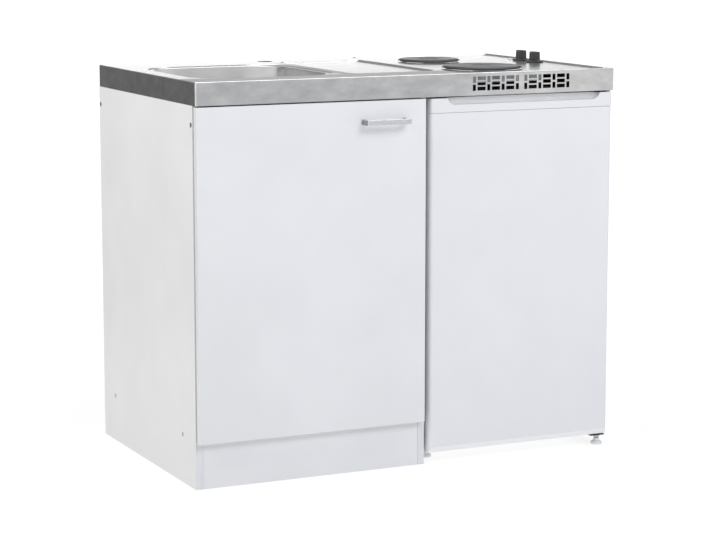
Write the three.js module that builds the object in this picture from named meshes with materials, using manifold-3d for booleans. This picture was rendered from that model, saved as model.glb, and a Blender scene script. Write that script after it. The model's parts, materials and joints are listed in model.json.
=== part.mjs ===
// Kitchenette: a sink base cabinet and an under-counter refrigerator below one pressed steel
// worktop with a bowl, a draining field and two cast-iron hot plates.
// Millimetres, +Z up. X runs from the left end, Y from the front of the apron back to the wall,
// Z from the floor; the finished group is then centred on its own footprint.

import * as THREE from 'three';
import { mergeVertices } from 'three/addons/utils/BufferGeometryUtils.js';
import Module from 'manifold-3d';

const wasm = await Module();
wasm.setup();

// ---------------------------------------------------------------- whole unit
const UNIT_WIDTH = 1000;
const UNIT_DEPTH = 600;
const WORKTOP_HEIGHT = 860;
const SEAT = 0.25; // gap left between two pieces that lie on each other
const RUNNING = 0.4; // radial gap round a pin, spindle or screw
const CUT = 2; // how far a cutter runs past the face it cuts

// ---------------------------------------------------------------- worktop
const SHEET = 1;
const APRON_HEIGHT = 49;
const FOLD_RADIUS = 2.5;
const PRESS_SLOPE = 5;
const PRESS_CORNER = 22;

const BOWL_LEFT = 52;
const BOWL_WIDTH = 312;
const BOWL_FRONT = 92;
const BOWL_LENGTH = 354;
const BOWL_LAND = 38; // flat sheet between the bowl and the drainer
const BOWL_DEPTH = 150;
const BOWL_CORNER = 75;
const BOWL_LIP = 8;
const BOWL_DRAFT = 7;
const BOWL_FILLET = 38;

const DRAINER_FRONT = 98;
const DRAINER_LAND = 14; // flat sheet between the drainer and the hob
const DRAINER_BACK_LEDGE = 90;
const DRAINER_PRESS = 4;

const HOB_WIDTH = 368;
const HOB_RIGHT_LEDGE = 10;
const HOB_FRONT_LEDGE = 12;
const HOB_BACK_LEDGE = 12;
const HOB_PRESS = 3.5;

const TAP_HOLE_RADIUS = 17.5;
const TAP_FROM_BOWL = 20;
const TAP_FROM_BACK = 62;

const BATTEN = 18;

// vent fields in the apron: upright slots in pairs, level slots in threes between them
const VENT_FROM_HOB = 21;
const VENT_FIELDS = 2;
const VENT_FIELD_PITCH = 127.5;
const VENT_COLUMNS = 3;
const VENT_TOP = 8;
const VENT_UPRIGHT_WIDTH = 7.5;
const VENT_UPRIGHT_HEIGHT = 13.5;
const VENT_LEVEL_WIDTH = 20;
const VENT_LEVEL_HEIGHT = 8;
const VENT_BRIDGE = 4;
const VENT_ROW_BRIDGE = 3.25;

// ---------------------------------------------------------------- sink waste
const WASTE_RADIUS = 33;
const WASTE_FLANGE_RADIUS = 42;
const WASTE_NECK = 20;
const WASTE_WALL = 2.5;
const WASTE_OUTLET_RADIUS = 20;
const WASTE_OUTLET_LENGTH = 32;
const STRAINER_DEPTH = 16;
const STRAINER_HOLES = 6;
const STRAINER_HOLE_RADIUS = 3;

// ---------------------------------------------------------------- hob
const PLATES_FROM_RIGHT = 250;
const FRONT_PLATE_RADIUS = 90;
const FRONT_PLATE_Y = 157;
const REAR_PLATE_RADIUS = 72.5;
const REAR_PLATE_FROM_BACK = 182;
const PLATE_RISE = 7.5;
const PLATE_CHAMFER_WIDTH = 6;
const PLATE_CHAMFER_HEIGHT = 3;
const PLATE_OVERHANG = 8;
const PLATE_LIFT = 3.5;
const PLATE_BELOW = 10;
const PLATE_DIMPLE = 22;
const COLLAR_WIDTH = 4;
const CLAMP_WIDTH = 16;
const CLAMP_THICKNESS = 2.5;

const TRAY_MARGIN = 10;
const TRAY_DEPTH = 22;
const TRAY_WALL = 1;

const KNOBS_FROM_RIGHT = 38;
const FRONT_KNOB_Y = 290;
const KNOB_PITCH = 64;
const LAMP_PITCH = 53;
const KNOB_RADIUS = 20.5;
const KNOB_SKIRT = 3.5;
const KNOB_HEIGHT = 24;
const KNOB_GRIP_WIDTH = 15;
const KNOB_GRIP_LENGTH = 26;
const KNOB_LIFT = 0.75;
const SPINDLE_RADIUS = 3;
const SPINDLE_REACH = 14;
const SWITCH_SIZE = 34;
const SWITCH_HEIGHT = 30;
const LAMP_RADIUS = 4.5;
const TERMINAL_WIDTH = 50;
const TERMINAL_LENGTH = 70;
const TERMINAL_HEIGHT = 32;

// ---------------------------------------------------------------- sink cabinet
const BOARD = 16;
const DOOR_BUFFER = 2.5;
const PLINTH_HEIGHT = 97;
const RAIL_HEIGHT = 80;
const FLOOR_SCREW_INSET = 76;
const SCREW_HEAD_RADIUS = 5;
const SCREW_SHANK_RADIUS = 3.5;
const SCREW_THREAD_RADIUS = 2.5;
const SCREW_HEAD_DEPTH = 3;
const SCREW_LENGTH = 50;

const DOOR_LEFT_REVEAL = 2;
const DOOR_RIGHT_REVEAL = 8;
const DOOR_TOP_REVEAL = 3;
const DOOR_FLOOR_LAP = 3;
const HINGE_FROM_END = 90;
const CUP_RADIUS = 17.5;
const CUP_DEPTH = 11.5;
const CUP_FROM_EDGE = 22.5;
const CUP_WALL = 1.2;
const CUP_FLANGE_WIDTH = 22;
const CUP_FLANGE_LENGTH = 52;
const ARM_LENGTH = 62;
const ARM_WIDTH = 14;
const ARM_HEIGHT = 11;
const HANDLE_LENGTH = 106;
const HANDLE_REACH = 30;
const HANDLE_BAR = 6;
const HANDLE_LEG = 9;
const HANDLE_HEIGHT = 11.5;
const HANDLE_FROM_EDGE = 47;
const HANDLE_FROM_TOP = 44;

// ---------------------------------------------------------------- refrigerator
const FRIDGE_WIDTH = 455;
const FRIDGE_GAP = 4.5;
const FRIDGE_SIDE = 2.5;
const FRIDGE_FOOT = 25;
const FRIDGE_BACK_SPACE = 40;
const FRIDGE_WALL = 35;
const FRIDGE_FLOOR_WALL = 45;
const FRIDGE_BACK_WALL = 40;
const FRIDGE_DOOR_SETBACK = 2;
const FRIDGE_DOOR = 38;
const FRIDGE_DOOR_RADIUS = 9;
const DOOR_FOOT_BEVEL = 12.5;
const DOOR_FOOT_SETBACK = 7;
const GASKET = 9.5;
const GASKET_WIDTH = 14;
const GASKET_INSET = 14;
const LINER = 2;
const MACHINE_HEIGHT = 190;
const MACHINE_DEPTH = 150;
const CASE_SKIN = 3;

const TRIM_HEIGHT = 31.5;
const TRIM_GROOVE = 0.5;
const GRIP_LEFT = 39.5;
const GRIP_WIDTH = 384;
const GRIP_TAPER = 21;
const GRIP_HEIGHT = 15;
const GRIP_DEPTH = 20;

const BRACKET = 2;
const BRACKET_WIDTH = 38;
const BRACKET_REACH = 60;
const PIN_RADIUS = 4;
const PIN_LENGTH = 12;
const PIN_INSET_X = 12;
const PIN_INSET_Y = 16;
const DOOR_END_GAP = 1.5;

const FREEZER_SETBACK = 150;
const FREEZER_HEIGHT = 110;
const FREEZER_LENGTH = 270;
const FREEZER_WALL = 2.5;
const FREEZER_SIDE_GAP = 6;
const FLAP = 5;
const FLAP_PIN_RADIUS = 2.5;
const SHELF = 4;
const SHELF_FRONT = 90;
const SHELF_LEDGE = 6;
const UPPER_SHELF_HEIGHT = 430;
const CRISPER_WALL = 2.5;
const CRISPER_GRIP = 140;
const CRISPER_GRIP_REACH = 12;
const CRISPER_HEADROOM = 8;
const RACK_WALL = 2;
const RACK_REACH = 80;
const RACK_BEAM = 10;
const RACK_BEAM_INSET = 44;
const RACK_BEAM_REACH = 32;
const RACK_SLOT_INSET = 30;
const DOOR_SKIN = 3;
const LOWER_RACK = 95;
const LOWER_RACK_HEIGHT = 70;
const UPPER_RACK = 400;
const UPPER_RACK_HEIGHT = 58;
const DIAL_RADIUS = 15;
const DIAL_HEIGHT = 500;
const DIAL_FROM_FRONT = 170;
const COMPRESSOR_RADIUS = 60;
const COMPRESSOR_HEIGHT = 150;
const CONDENSER_TUBE = 2.5;
const CONDENSER_RUNS = 11;
const CONDENSER_MARGIN = 32;
const CONDENSER_STAND = 12;
const FOOT_RADIUS = 13;
const FOOT_PAD = 7;

// ---------------------------------------------------------------- worked-out places
const cabinetWidth = UNIT_WIDTH - FRIDGE_SIDE - FRIDGE_WIDTH - FRIDGE_GAP;
const underside = WORKTOP_HEIGHT - APRON_HEIGHT;
const sheetBottom = WORKTOP_HEIGHT - SHEET;
const carcassTop = underside - SEAT;
const carcassFront = BOARD + DOOR_BUFFER;
const hobFloor = WORKTOP_HEIGHT - HOB_PRESS;
const hobUnder = hobFloor - SHEET - SEAT;
const frameTop = WORKTOP_HEIGHT - Math.max(DRAINER_PRESS, HOB_PRESS) - SHEET - SEAT;
const bowlCentreX = BOWL_LEFT + BOWL_WIDTH / 2;
const bowlCentreY = BOWL_FRONT + BOWL_LENGTH / 2;
const bowlFloor = WORKTOP_HEIGHT - BOWL_DEPTH;
const bowlRight = BOWL_LEFT + BOWL_WIDTH;
const hobRight = UNIT_WIDTH - HOB_RIGHT_LEDGE;
const hobLeft = hobRight - HOB_WIDTH;
const drainerLeft = bowlRight + BOWL_LAND;
const drainerRight = hobLeft - DRAINER_LAND;
const plateX = UNIT_WIDTH - PLATES_FROM_RIGHT;
const rearPlateY = UNIT_DEPTH - REAR_PLATE_FROM_BACK;
const knobX = UNIT_WIDTH - KNOBS_FROM_RIGHT;
const lampY = FRONT_KNOB_Y + KNOB_PITCH + LAMP_PITCH;
const railCentre = carcassTop - RAIL_HEIGHT / 2;
const floorCentre = PLINTH_HEIGHT + SEAT + BOARD / 2;
const fridgeLeft = cabinetWidth + FRIDGE_GAP;
const fridgeTop = carcassTop;
const fridgeBack = UNIT_DEPTH - FRIDGE_BACK_SPACE;
const fridgeDoorBack = FRIDGE_DOOR_SETBACK + FRIDGE_DOOR;
const fridgeFront = fridgeDoorBack + 2 * SEAT + GASKET;

// ---------------------------------------------------------------- materials
const finish = (color, roughness, metalness = 0) =>
  new THREE.MeshStandardMaterial({ color, roughness, metalness });
const steel = finish(0xb9bab8, 0.35, 1);
const castIron = finish(0x3c3d3f, 0.7, 0.3);
const whiteBoard = finish(0xebedf0, 0.5);
const whiteMetal = finish(0xeef0f3, 0.35);
const whitePlastic = finish(0xf2f3f4, 0.4);
const blackPlastic = finish(0x1c1c1e, 0.5);
const greyRubber = finish(0xc9ccd0, 0.8);
const zinc = finish(0xa9adb0, 0.4, 1);
const aluminium = finish(0xc4c6c8, 0.35, 1);
const glass = finish(0xd8e6e2, 0.1);
const lampPlastic = finish(0xf4f4f0, 0.2);
const pine = finish(0x8a7052, 0.8);
const blackPaint = finish(0x26272a, 0.6);

// ---------------------------------------------------------------- solids

// A closed three.js geometry as a solid with its faces pointing out.
function solid(geometry) {
  const bare = geometry.clone();
  bare.deleteAttribute('normal');
  bare.deleteAttribute('uv');
  const merged = mergeVertices(bare, 1e-4);
  const points = merged.attributes.position.array;
  const index = merged.index.array;
  const triangles = [];
  let volume = 0;
  for (let i = 0; i < index.length; i += 3) {
    const [a, b, c] = [index[i], index[i + 1], index[i + 2]];
    if (a === b || b === c || c === a) continue;
    triangles.push(a, b, c);
    const [p, q, r] = [a, b, c].map((k) => new THREE.Vector3().fromArray(points, 3 * k));
    volume += p.dot(q.cross(r));
  }
  if (volume < 0) triangles.reverse();
  return new wasm.Manifold(new wasm.Mesh({
    numProp: 3,
    vertProperties: Float32Array.from(points),
    triVerts: Uint32Array.from(triangles),
  }));
}

function block(x0, x1, y0, y1, z0, z1) {
  const box = new THREE.BoxGeometry(x1 - x0, y1 - y0, z1 - z0);
  box.translate((x0 + x1) / 2, (y0 + y1) / 2, (z0 + z1) / 2);
  return solid(box);
}

// Box with four walls and a floor, open at the top.
function tub(x0, x1, y0, y1, z0, z1, wall) {
  const hollow = block(x0 + wall, x1 - wall, y0 + wall, y1 - wall, z0 + wall, z1 + CUT);
  return block(x0, x1, y0, y1, z0, z1).subtract(hollow);
}

// Upright round bar from z0 to z1.
function rod(x, y, z0, z1, radius, segments = 24) {
  const bar = new THREE.CylinderGeometry(radius, radius, z1 - z0, segments);
  bar.rotateX(Math.PI / 2);
  bar.translate(x, y, (z0 + z1) / 2);
  return solid(bar);
}

// Round bar along X.
function rodX(x0, x1, y, z, radius, segments = 12) {
  const bar = new THREE.CylinderGeometry(radius, radius, x1 - x0, segments);
  bar.rotateZ(Math.PI / 2);
  bar.translate((x0 + x1) / 2, y, z);
  return solid(bar);
}

// Round bar along Y.
function rodY(x, y0, y1, z, radius, segments = 24) {
  const bar = new THREE.CylinderGeometry(radius, radius, y1 - y0, segments);
  bar.translate(x, (y0 + y1) / 2, z);
  return solid(bar);
}

// A profile of [radius, height] pairs turned round the upright axis at x, y.
function turned(profile, x, y, segments = 32) {
  const outline = profile.map(([radius, height]) => new THREE.Vector2(radius, height));
  const lathe = new THREE.LatheGeometry(outline, segments);
  lathe.rotateX(Math.PI / 2);
  lathe.translate(x, y, 0);
  return solid(lathe);
}

function shapeOf(points) {
  return new THREE.Shape(points.map(([a, b]) => new THREE.Vector2(a, b)));
}

// An outline in plan, extruded upwards.
function plan(points, z0, z1) {
  const body = new THREE.ExtrudeGeometry(shapeOf(points), { depth: z1 - z0, bevelEnabled: false });
  body.translate(0, 0, z0);
  return solid(body);
}

// An outline of [y, z] pairs, extruded along X.
function sideProfile(points, x0, x1) {
  const body = new THREE.ExtrudeGeometry(shapeOf(points), { depth: x1 - x0, bevelEnabled: false });
  const [xAxis, yAxis, zAxis] = [[1, 0, 0], [0, 1, 0], [0, 0, 1]]
    .map((axis) => new THREE.Vector3(...axis));
  body.applyMatrix4(new THREE.Matrix4().makeBasis(yAxis, zAxis, xAxis));
  body.translate(x0, 0, 0);
  return solid(body);
}

// An outline of [x, z] pairs, extruded along Y.
function frontProfile(points, y0, y1) {
  const body = new THREE.ExtrudeGeometry(shapeOf(points), { depth: y1 - y0, bevelEnabled: false });
  body.rotateX(Math.PI / 2);
  body.translate(0, y1, 0);
  return solid(body);
}

// Rectangle with round corners at one height, anticlockwise, drawn in by inset.
function roundedRing(x0, x1, y0, y1, radius, inset, z, steps = 5) {
  const ring = [];
  const corners = [[x1, y0, -1, 1, 1.5], [x1, y1, -1, -1, 0], [x0, y1, 1, -1, 0.5], [x0, y0, 1, 1, 1]];
  const reach = Math.max(radius - inset, 0.5);
  for (const [x, y, dx, dy, start] of corners) {
    for (let i = 0; i <= steps; i++) {
      const angle = Math.PI * (start + i / steps / 2);
      const centreX = x + dx * (inset + reach);
      const centreY = y + dy * (inset + reach);
      ring.push([centreX + reach * Math.cos(angle), centreY + reach * Math.sin(angle), z]);
    }
  }
  return ring;
}

// A solid through a stack of rings that have equally many points.
function loft(rings) {
  const count = rings[0].length;
  const points = rings.flat(2);
  const index = [];
  for (let k = 0; k + 1 < rings.length; k++) {
    for (let i = 0; i < count; i++) {
      const [a, b] = [k * count + i, k * count + (i + 1) % count];
      index.push(a, b, b + count, a, b + count, a + count);
    }
  }
  for (const k of [0, rings.length - 1]) {
    const centre = points.length / 3;
    const middle = [0, 1, 2].map((axis) =>
      rings[k].reduce((sum, point) => sum + point[axis], 0) / count);
    points.push(...middle);
    for (let i = 0; i < count; i++) {
      const [a, b] = [k * count + i, k * count + (i + 1) % count];
      index.push(...(k === 0 ? [b, a, centre] : [a, b, centre]));
    }
  }
  const body = new THREE.BufferGeometry();
  body.setAttribute('position', new THREE.Float32BufferAttribute(points, 3));
  body.setIndex(index);
  return solid(body);
}

// A named mesh in its group. Solids are already drawn in the group's own coordinates.
function piece(group, name, body, material, place = [0, 0, 0]) {
  const mesh = body.getMesh();
  const flat = new THREE.BufferGeometry();
  flat.setAttribute('position', new THREE.BufferAttribute(mesh.vertProperties, 3));
  flat.setIndex(new THREE.BufferAttribute(mesh.triVerts, 1));
  flat.computeVertexNormals();
  const part = new THREE.Mesh(flat, material);
  part.name = name;
  part.position.set(...place);
  group.add(part);
}

function join(bodies) {
  return bodies.reduce((sum, body) => sum.add(body));
}

// ---------------------------------------------------------------- worktop

// Skin of the worktop before pressing: flat top, folded apron, side and back flanges.
function worktopShell() {
  const front = (offset) => {
    const radius = FOLD_RADIUS - offset;
    const arc = [0, 0.25, 0.5, 0.75, 1].map((t) => {
      const angle = t * Math.PI / 2;
      return [FOLD_RADIUS - radius * Math.cos(angle),
        WORKTOP_HEIGHT - FOLD_RADIUS + radius * Math.sin(angle)];
    });
    const bottom = underside - (offset > 0 ? CUT : 0);
    return [[offset, bottom], ...arc, [UNIT_DEPTH - offset, WORKTOP_HEIGHT - offset],
      [UNIT_DEPTH - offset, bottom]];
  };
  const outside = sideProfile(front(0), 0, UNIT_WIDTH);
  const inside = sideProfile(front(SHEET), SHEET, UNIT_WIDTH - SHEET);
  return outside.subtract(inside);
}

// One field pressed into the sheet: what the sheet gains below and what it loses above.
function pressedField(x0, x1, y0, y1, depth) {
  const ring = (grow, inset, z) =>
    roundedRing(x0 - grow, x1 + grow, y0 - grow, y1 + grow, PRESS_CORNER, inset, z);
  const below = loft([
    ring(SHEET, PRESS_SLOPE, WORKTOP_HEIGHT - depth - SHEET),
    ring(SHEET, 0, sheetBottom),
    ring(SHEET, 0, sheetBottom + SHEET / 2),
  ]);
  const above = loft([
    ring(0, PRESS_SLOPE, WORKTOP_HEIGHT - depth),
    ring(0, 0, WORKTOP_HEIGHT),
    ring(0, 0, WORKTOP_HEIGHT + CUT),
  ]);
  return { below, above };
}

// The bowl as [inset, drop] steps: rolled lip, drafted wall, bottom fillet. Grow gives its outside.
function bowlBody(grow) {
  const lip = BOWL_LIP - grow;
  const fillet = BOWL_FILLET + grow;
  const lipSteps = 3;
  const filletSteps = 4;
  const profile = [];
  for (let i = 0; i <= lipSteps; i++) {
    const angle = i / lipSteps * Math.PI / 2;
    profile.push([lip * Math.sin(angle), BOWL_LIP - lip * Math.cos(angle)]);
  }
  const wallFoot = BOWL_LIP + BOWL_DRAFT;
  for (let i = 0; i <= filletSteps; i++) {
    const angle = i / filletSteps * Math.PI / 2;
    profile.push([wallFoot + BOWL_FILLET - fillet * Math.cos(angle),
      BOWL_DEPTH - BOWL_FILLET + fillet * Math.sin(angle)]);
  }
  const ring = ([inset, drop]) => roundedRing(
    BOWL_LEFT, bowlRight, BOWL_FRONT, BOWL_FRONT + BOWL_LENGTH,
    BOWL_CORNER, inset, WORKTOP_HEIGHT - drop,
  );
  const mouth = grow > 0 ? [0, grow / 2] : [0, -CUT];
  return loft([mouth, ...profile].reverse().map(ring));
}

function ventCutters() {
  const cutters = [];
  const pitch = VENT_UPRIGHT_WIDTH + VENT_LEVEL_WIDTH + 2 * VENT_BRIDGE;
  const top = WORKTOP_HEIGHT - VENT_TOP;
  const slot = (x, z, width, height) =>
    cutters.push(block(x, x + width, -CUT, SHEET + CUT, z - height, z));
  for (let field = 0; field < VENT_FIELDS; field++) {
    const left = hobLeft + VENT_FROM_HOB + field * VENT_FIELD_PITCH;
    for (let column = 0; column <= VENT_COLUMNS; column++) {
      const x = left + column * pitch;
      for (let row = 0; row < 2; row++) {
        const z = top - row * (VENT_UPRIGHT_HEIGHT + VENT_BRIDGE);
        slot(x, z, VENT_UPRIGHT_WIDTH, VENT_UPRIGHT_HEIGHT);
      }
      if (column === VENT_COLUMNS) continue;
      for (let row = 0; row < 3; row++) {
        const z = top - row * (VENT_LEVEL_HEIGHT + VENT_ROW_BRIDGE);
        slot(x + VENT_UPRIGHT_WIDTH + VENT_BRIDGE, z, VENT_LEVEL_WIDTH, VENT_LEVEL_HEIGHT);
      }
    }
  }
  return cutters;
}

const plates = [
  { end: 'front', y: FRONT_PLATE_Y, radius: FRONT_PLATE_RADIUS },
  { end: 'rear', y: rearPlateY, radius: REAR_PLATE_RADIUS },
];
const knobs = [
  { end: 'front', y: FRONT_KNOB_Y },
  { end: 'rear', y: FRONT_KNOB_Y + KNOB_PITCH },
];

function worktopSheet() {
  const drainer = pressedField(drainerLeft, drainerRight, DRAINER_FRONT,
    UNIT_DEPTH - DRAINER_BACK_LEDGE, DRAINER_PRESS);
  const hob = pressedField(hobLeft, hobRight, HOB_FRONT_LEDGE,
    UNIT_DEPTH - HOB_BACK_LEDGE, HOB_PRESS);
  let sheet = join([worktopShell(), drainer.below, hob.below, bowlBody(SHEET)]);
  const hole = (x, y, radius) =>
    rod(x, y, bowlFloor - SHEET - CUT, WORKTOP_HEIGHT + CUT, radius);
  const cutters = [
    drainer.above, hob.above, bowlBody(0),
    hole(bowlCentreX, bowlCentreY, WASTE_RADIUS),
    hole(bowlRight + TAP_FROM_BOWL, UNIT_DEPTH - TAP_FROM_BACK, TAP_HOLE_RADIUS),
    hole(knobX, lampY, LAMP_RADIUS + RUNNING),
    ...plates.map(({ y, radius }) => hole(plateX, y, radius - PLATE_OVERHANG + 1)),
    ...knobs.map(({ y }) => hole(knobX, y, SPINDLE_RADIUS + 2)),
    ...ventCutters(),
  ];
  for (const cutter of cutters) sheet = sheet.subtract(cutter);
  return sheet;
}

// Ladder of battens that stiffens the sheet and rests on the cabinet and the refrigerator.
function worktopFrame() {
  const near = SHEET + SEAT;
  const right = UNIT_WIDTH - near;
  const back = UNIT_DEPTH - near;
  const divider = (drainerRight + hobLeft + BATTEN) / 2;
  const batten = (x0, x1, y0, y1) => block(x0, x1, y0, y1, underside, frameTop);
  return join([
    batten(near, divider, near, near + BATTEN),
    batten(near, right, back - BATTEN, back),
    batten(near, near + BATTEN, near, back),
    batten(divider - BATTEN, divider, near, back),
    batten(right - BATTEN, right, near, back),
  ]);
}

// ---------------------------------------------------------------- sink waste

function addWaste(group) {
  const place = [bowlCentreX, bowlCentreY, bowlFloor];
  const neck = WASTE_RADIUS - RUNNING;
  const bore = neck - WASTE_WALL;
  const flangeTop = SEAT + WASTE_WALL;
  piece(group, 'waste_flange', turned([
    [bore, flangeTop - 1], [bore, -WASTE_NECK], [neck, -WASTE_NECK], [neck, SEAT],
    [WASTE_FLANGE_RADIUS, SEAT], [WASTE_FLANGE_RADIUS, SEAT + 0.5],
    [WASTE_FLANGE_RADIUS - WASTE_WALL, flangeTop], [bore + 3, flangeTop], [bore, flangeTop - 1],
  ], 0, 0), steel, place);

  const clampTop = -SHEET - SEAT;
  const sleeve = neck + RUNNING;
  const cup = sleeve + WASTE_WALL;
  const cupBottom = -WASTE_NECK - 8;
  const outlet = cupBottom - WASTE_OUTLET_LENGTH;
  const outletBore = WASTE_OUTLET_RADIUS - WASTE_WALL;
  piece(group, 'waste_body', turned([
    [sleeve, clampTop], [sleeve, cupBottom + WASTE_WALL], [outletBore, cupBottom - 6],
    [outletBore, outlet], [WASTE_OUTLET_RADIUS, outlet],
    [WASTE_OUTLET_RADIUS, cupBottom - 6 - WASTE_WALL], [cup, cupBottom], [cup, clampTop - 8],
    [WASTE_FLANGE_RADIUS, clampTop - 5], [WASTE_FLANGE_RADIUS, clampTop], [sleeve, clampTop],
  ], 0, 0), whitePlastic, place);

  const rimUnder = flangeTop + SEAT;
  const basket = bore - RUNNING;
  const wall = 1;
  const basketFloor = rimUnder - STRAINER_DEPTH;
  let strainer = turned([
    [0, basketFloor], [basket, basketFloor], [basket, rimUnder], [basket + 5, rimUnder],
    [basket + 5, rimUnder + wall], [basket - wall, rimUnder + wall],
    [basket - wall, basketFloor + wall], [4, basketFloor + wall], [3, rimUnder + 4],
    [6.5, rimUnder + 6], [6.5, rimUnder + 9], [0, rimUnder + 10],
  ], 0, 0);
  for (let i = 0; i < STRAINER_HOLES; i++) {
    const angle = 2 * Math.PI * i / STRAINER_HOLES;
    const reach = basket * 0.6;
    strainer = strainer.subtract(rod(reach * Math.cos(angle), reach * Math.sin(angle),
      basketFloor - CUT, basketFloor + CUT, STRAINER_HOLE_RADIUS, 10));
  }
  piece(group, 'sink_strainer', strainer, steel, place);
}

// ---------------------------------------------------------------- hob

function addPlate(group, { end, y, radius }) {
  const place = [plateX, y, hobFloor];
  const top = PLATE_RISE;
  const body = radius - PLATE_OVERHANG;
  const bottom = -PLATE_BELOW;
  piece(group, `hot_plate_${end}`, turned([
    [0, bottom], [body, bottom], [body, PLATE_LIFT], [radius, PLATE_LIFT],
    [radius, top - PLATE_CHAMFER_HEIGHT], [radius - PLATE_CHAMFER_WIDTH, top],
    [PLATE_DIMPLE, top], [PLATE_DIMPLE - 2, top - 1], [0, top - 1],
  ], 0, 0, 48), castIron, place);

  const inner = body + 2;
  piece(group, `plate_collar_${end}`, turned([
    [inner, SEAT], [inner + COLLAR_WIDTH, SEAT], [inner + COLLAR_WIDTH - 1, PLATE_LIFT - SEAT],
    [inner, PLATE_LIFT - SEAT], [inner, SEAT],
  ], 0, 0, 48), steel, place);

  const under = bottom - SEAT;
  const reach = radius + 6;
  const lip = -SHEET - SEAT;
  const foot = under - CLAMP_THICKNESS;
  const clamp = frontProfile([
    [-reach, foot], [reach, foot], [reach, lip], [reach - CLAMP_THICKNESS, lip],
    [reach - CLAMP_THICKNESS, under], [CLAMP_THICKNESS - reach, under],
    [CLAMP_THICKNESS - reach, lip], [-reach, lip],
  ], -CLAMP_WIDTH / 2, CLAMP_WIDTH / 2);
  piece(group, `plate_clamp_${end}`, clamp, zinc, place);
}

function addKnob(group, { end, y }) {
  const place = [knobX, y, hobFloor];
  const skirtTop = KNOB_LIFT + KNOB_SKIRT;
  const top = KNOB_LIFT + KNOB_HEIGHT;
  const grip = loft([
    roundedRing(-KNOB_GRIP_WIDTH / 2, KNOB_GRIP_WIDTH / 2, -KNOB_GRIP_LENGTH / 2,
      KNOB_GRIP_LENGTH / 2, 3, 0, skirtTop - 1, 3),
    roundedRing(-KNOB_GRIP_WIDTH / 2, KNOB_GRIP_WIDTH / 2, -KNOB_GRIP_LENGTH / 2,
      KNOB_GRIP_LENGTH / 2, 3, 1.2, top - 1, 3),
    roundedRing(-KNOB_GRIP_WIDTH / 2, KNOB_GRIP_WIDTH / 2, -KNOB_GRIP_LENGTH / 2,
      KNOB_GRIP_LENGTH / 2, 3, 2.2, top, 3),
  ]);
  const skirt = turned([
    [0, KNOB_LIFT], [KNOB_RADIUS, KNOB_LIFT], [KNOB_RADIUS, skirtTop - 1],
    [KNOB_RADIUS - 1.5, skirtTop], [0, skirtTop],
  ], 0, 0, 32);
  const bore = rod(0, 0, KNOB_LIFT - CUT, KNOB_LIFT + SPINDLE_REACH + SEAT, SPINDLE_RADIUS + SEAT, 16);
  piece(group, `knob_${end}`, skirt.add(grip).subtract(bore), blackPlastic, place);

  const switchTop = hobUnder - hobFloor;
  const spindleFoot = switchTop - SWITCH_HEIGHT / 2;
  const spindle = rod(0, 0, spindleFoot, KNOB_LIFT + SPINDLE_REACH, SPINDLE_RADIUS, 16);
  piece(group, `spindle_${end}`, spindle, zinc, place);

  const half = SWITCH_SIZE / 2;
  const housing = block(-half, half, -half, half, switchTop - SWITCH_HEIGHT, switchTop)
    .subtract(rod(0, 0, spindleFoot - SEAT, switchTop + CUT, SPINDLE_RADIUS + RUNNING, 16));
  piece(group, `switch_${end}`, housing, whitePlastic, place);
}

function addLamp(group) {
  const under = -SHEET - SWITCH_HEIGHT / 2;
  piece(group, 'pilot_lamp', turned([
    [0, under], [LAMP_RADIUS, under], [LAMP_RADIUS, SEAT], [LAMP_RADIUS + 1.5, SEAT],
    [LAMP_RADIUS + 1.5, 1], [LAMP_RADIUS - 0.5, 2.2], [LAMP_RADIUS - 2.5, 3], [0, 3.4],
  ], 0, 0, 20), lampPlastic, [knobX, lampY, hobFloor]);
}

// Open tray under the plates that screens the wiring and the hand from below.
function hobTray() {
  const reach = Math.max(FRONT_PLATE_RADIUS, REAR_PLATE_RADIUS) + TRAY_MARGIN;
  const front = FRONT_PLATE_Y - FRONT_PLATE_RADIUS - TRAY_MARGIN;
  const back = rearPlateY + REAR_PLATE_RADIUS + TRAY_MARGIN;
  return tub(plateX - reach, plateX + reach, front, back, hobUnder - TRAY_DEPTH, hobUnder,
    TRAY_WALL);
}

function terminalBox() {
  const back = UNIT_DEPTH - SHEET - BATTEN - 3 * SEAT;
  return block(knobX - TERMINAL_WIDTH, knobX, back - TERMINAL_LENGTH, back,
    hobUnder - TERMINAL_HEIGHT, hobUnder);
}

function buildWorktop() {
  const group = new THREE.Group();
  piece(group, 'worktop_sheet', worktopSheet(), steel);
  piece(group, 'worktop_frame', worktopFrame(), pine);
  addWaste(group);
  plates.forEach((plate) => addPlate(group, plate));
  knobs.forEach((knob) => addKnob(group, knob));
  addLamp(group);
  piece(group, 'hob_tray', hobTray(), zinc);
  piece(group, 'terminal_box', terminalBox(), blackPlastic);
  return group;
}

// ---------------------------------------------------------------- sink cabinet

const screws = [
  { name: 'screw_rail_front', y: carcassFront + BOARD / 2, z: railCentre },
  { name: 'screw_rail_rear', y: UNIT_DEPTH - BOARD / 2, z: railCentre },
  { name: 'screw_floor_front', y: carcassFront + FLOOR_SCREW_INSET, z: floorCentre },
  { name: 'screw_floor_rear', y: UNIT_DEPTH - FLOOR_SCREW_INSET, z: floorCentre },
];

// Flush-headed cabinet screw, driven from the left, grown by gap for its hole.
function screwBody({ y, z }, gap = 0) {
  const head = rodX(0, SCREW_HEAD_DEPTH, y, z, SCREW_HEAD_RADIUS + gap);
  const shank = rodX(0, BOARD, y, z, SCREW_SHANK_RADIUS + gap);
  const thread = rodX(0, SCREW_LENGTH + gap, y, z, SCREW_THREAD_RADIUS + gap, 8);
  return join([head, shank, thread]);
}

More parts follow.
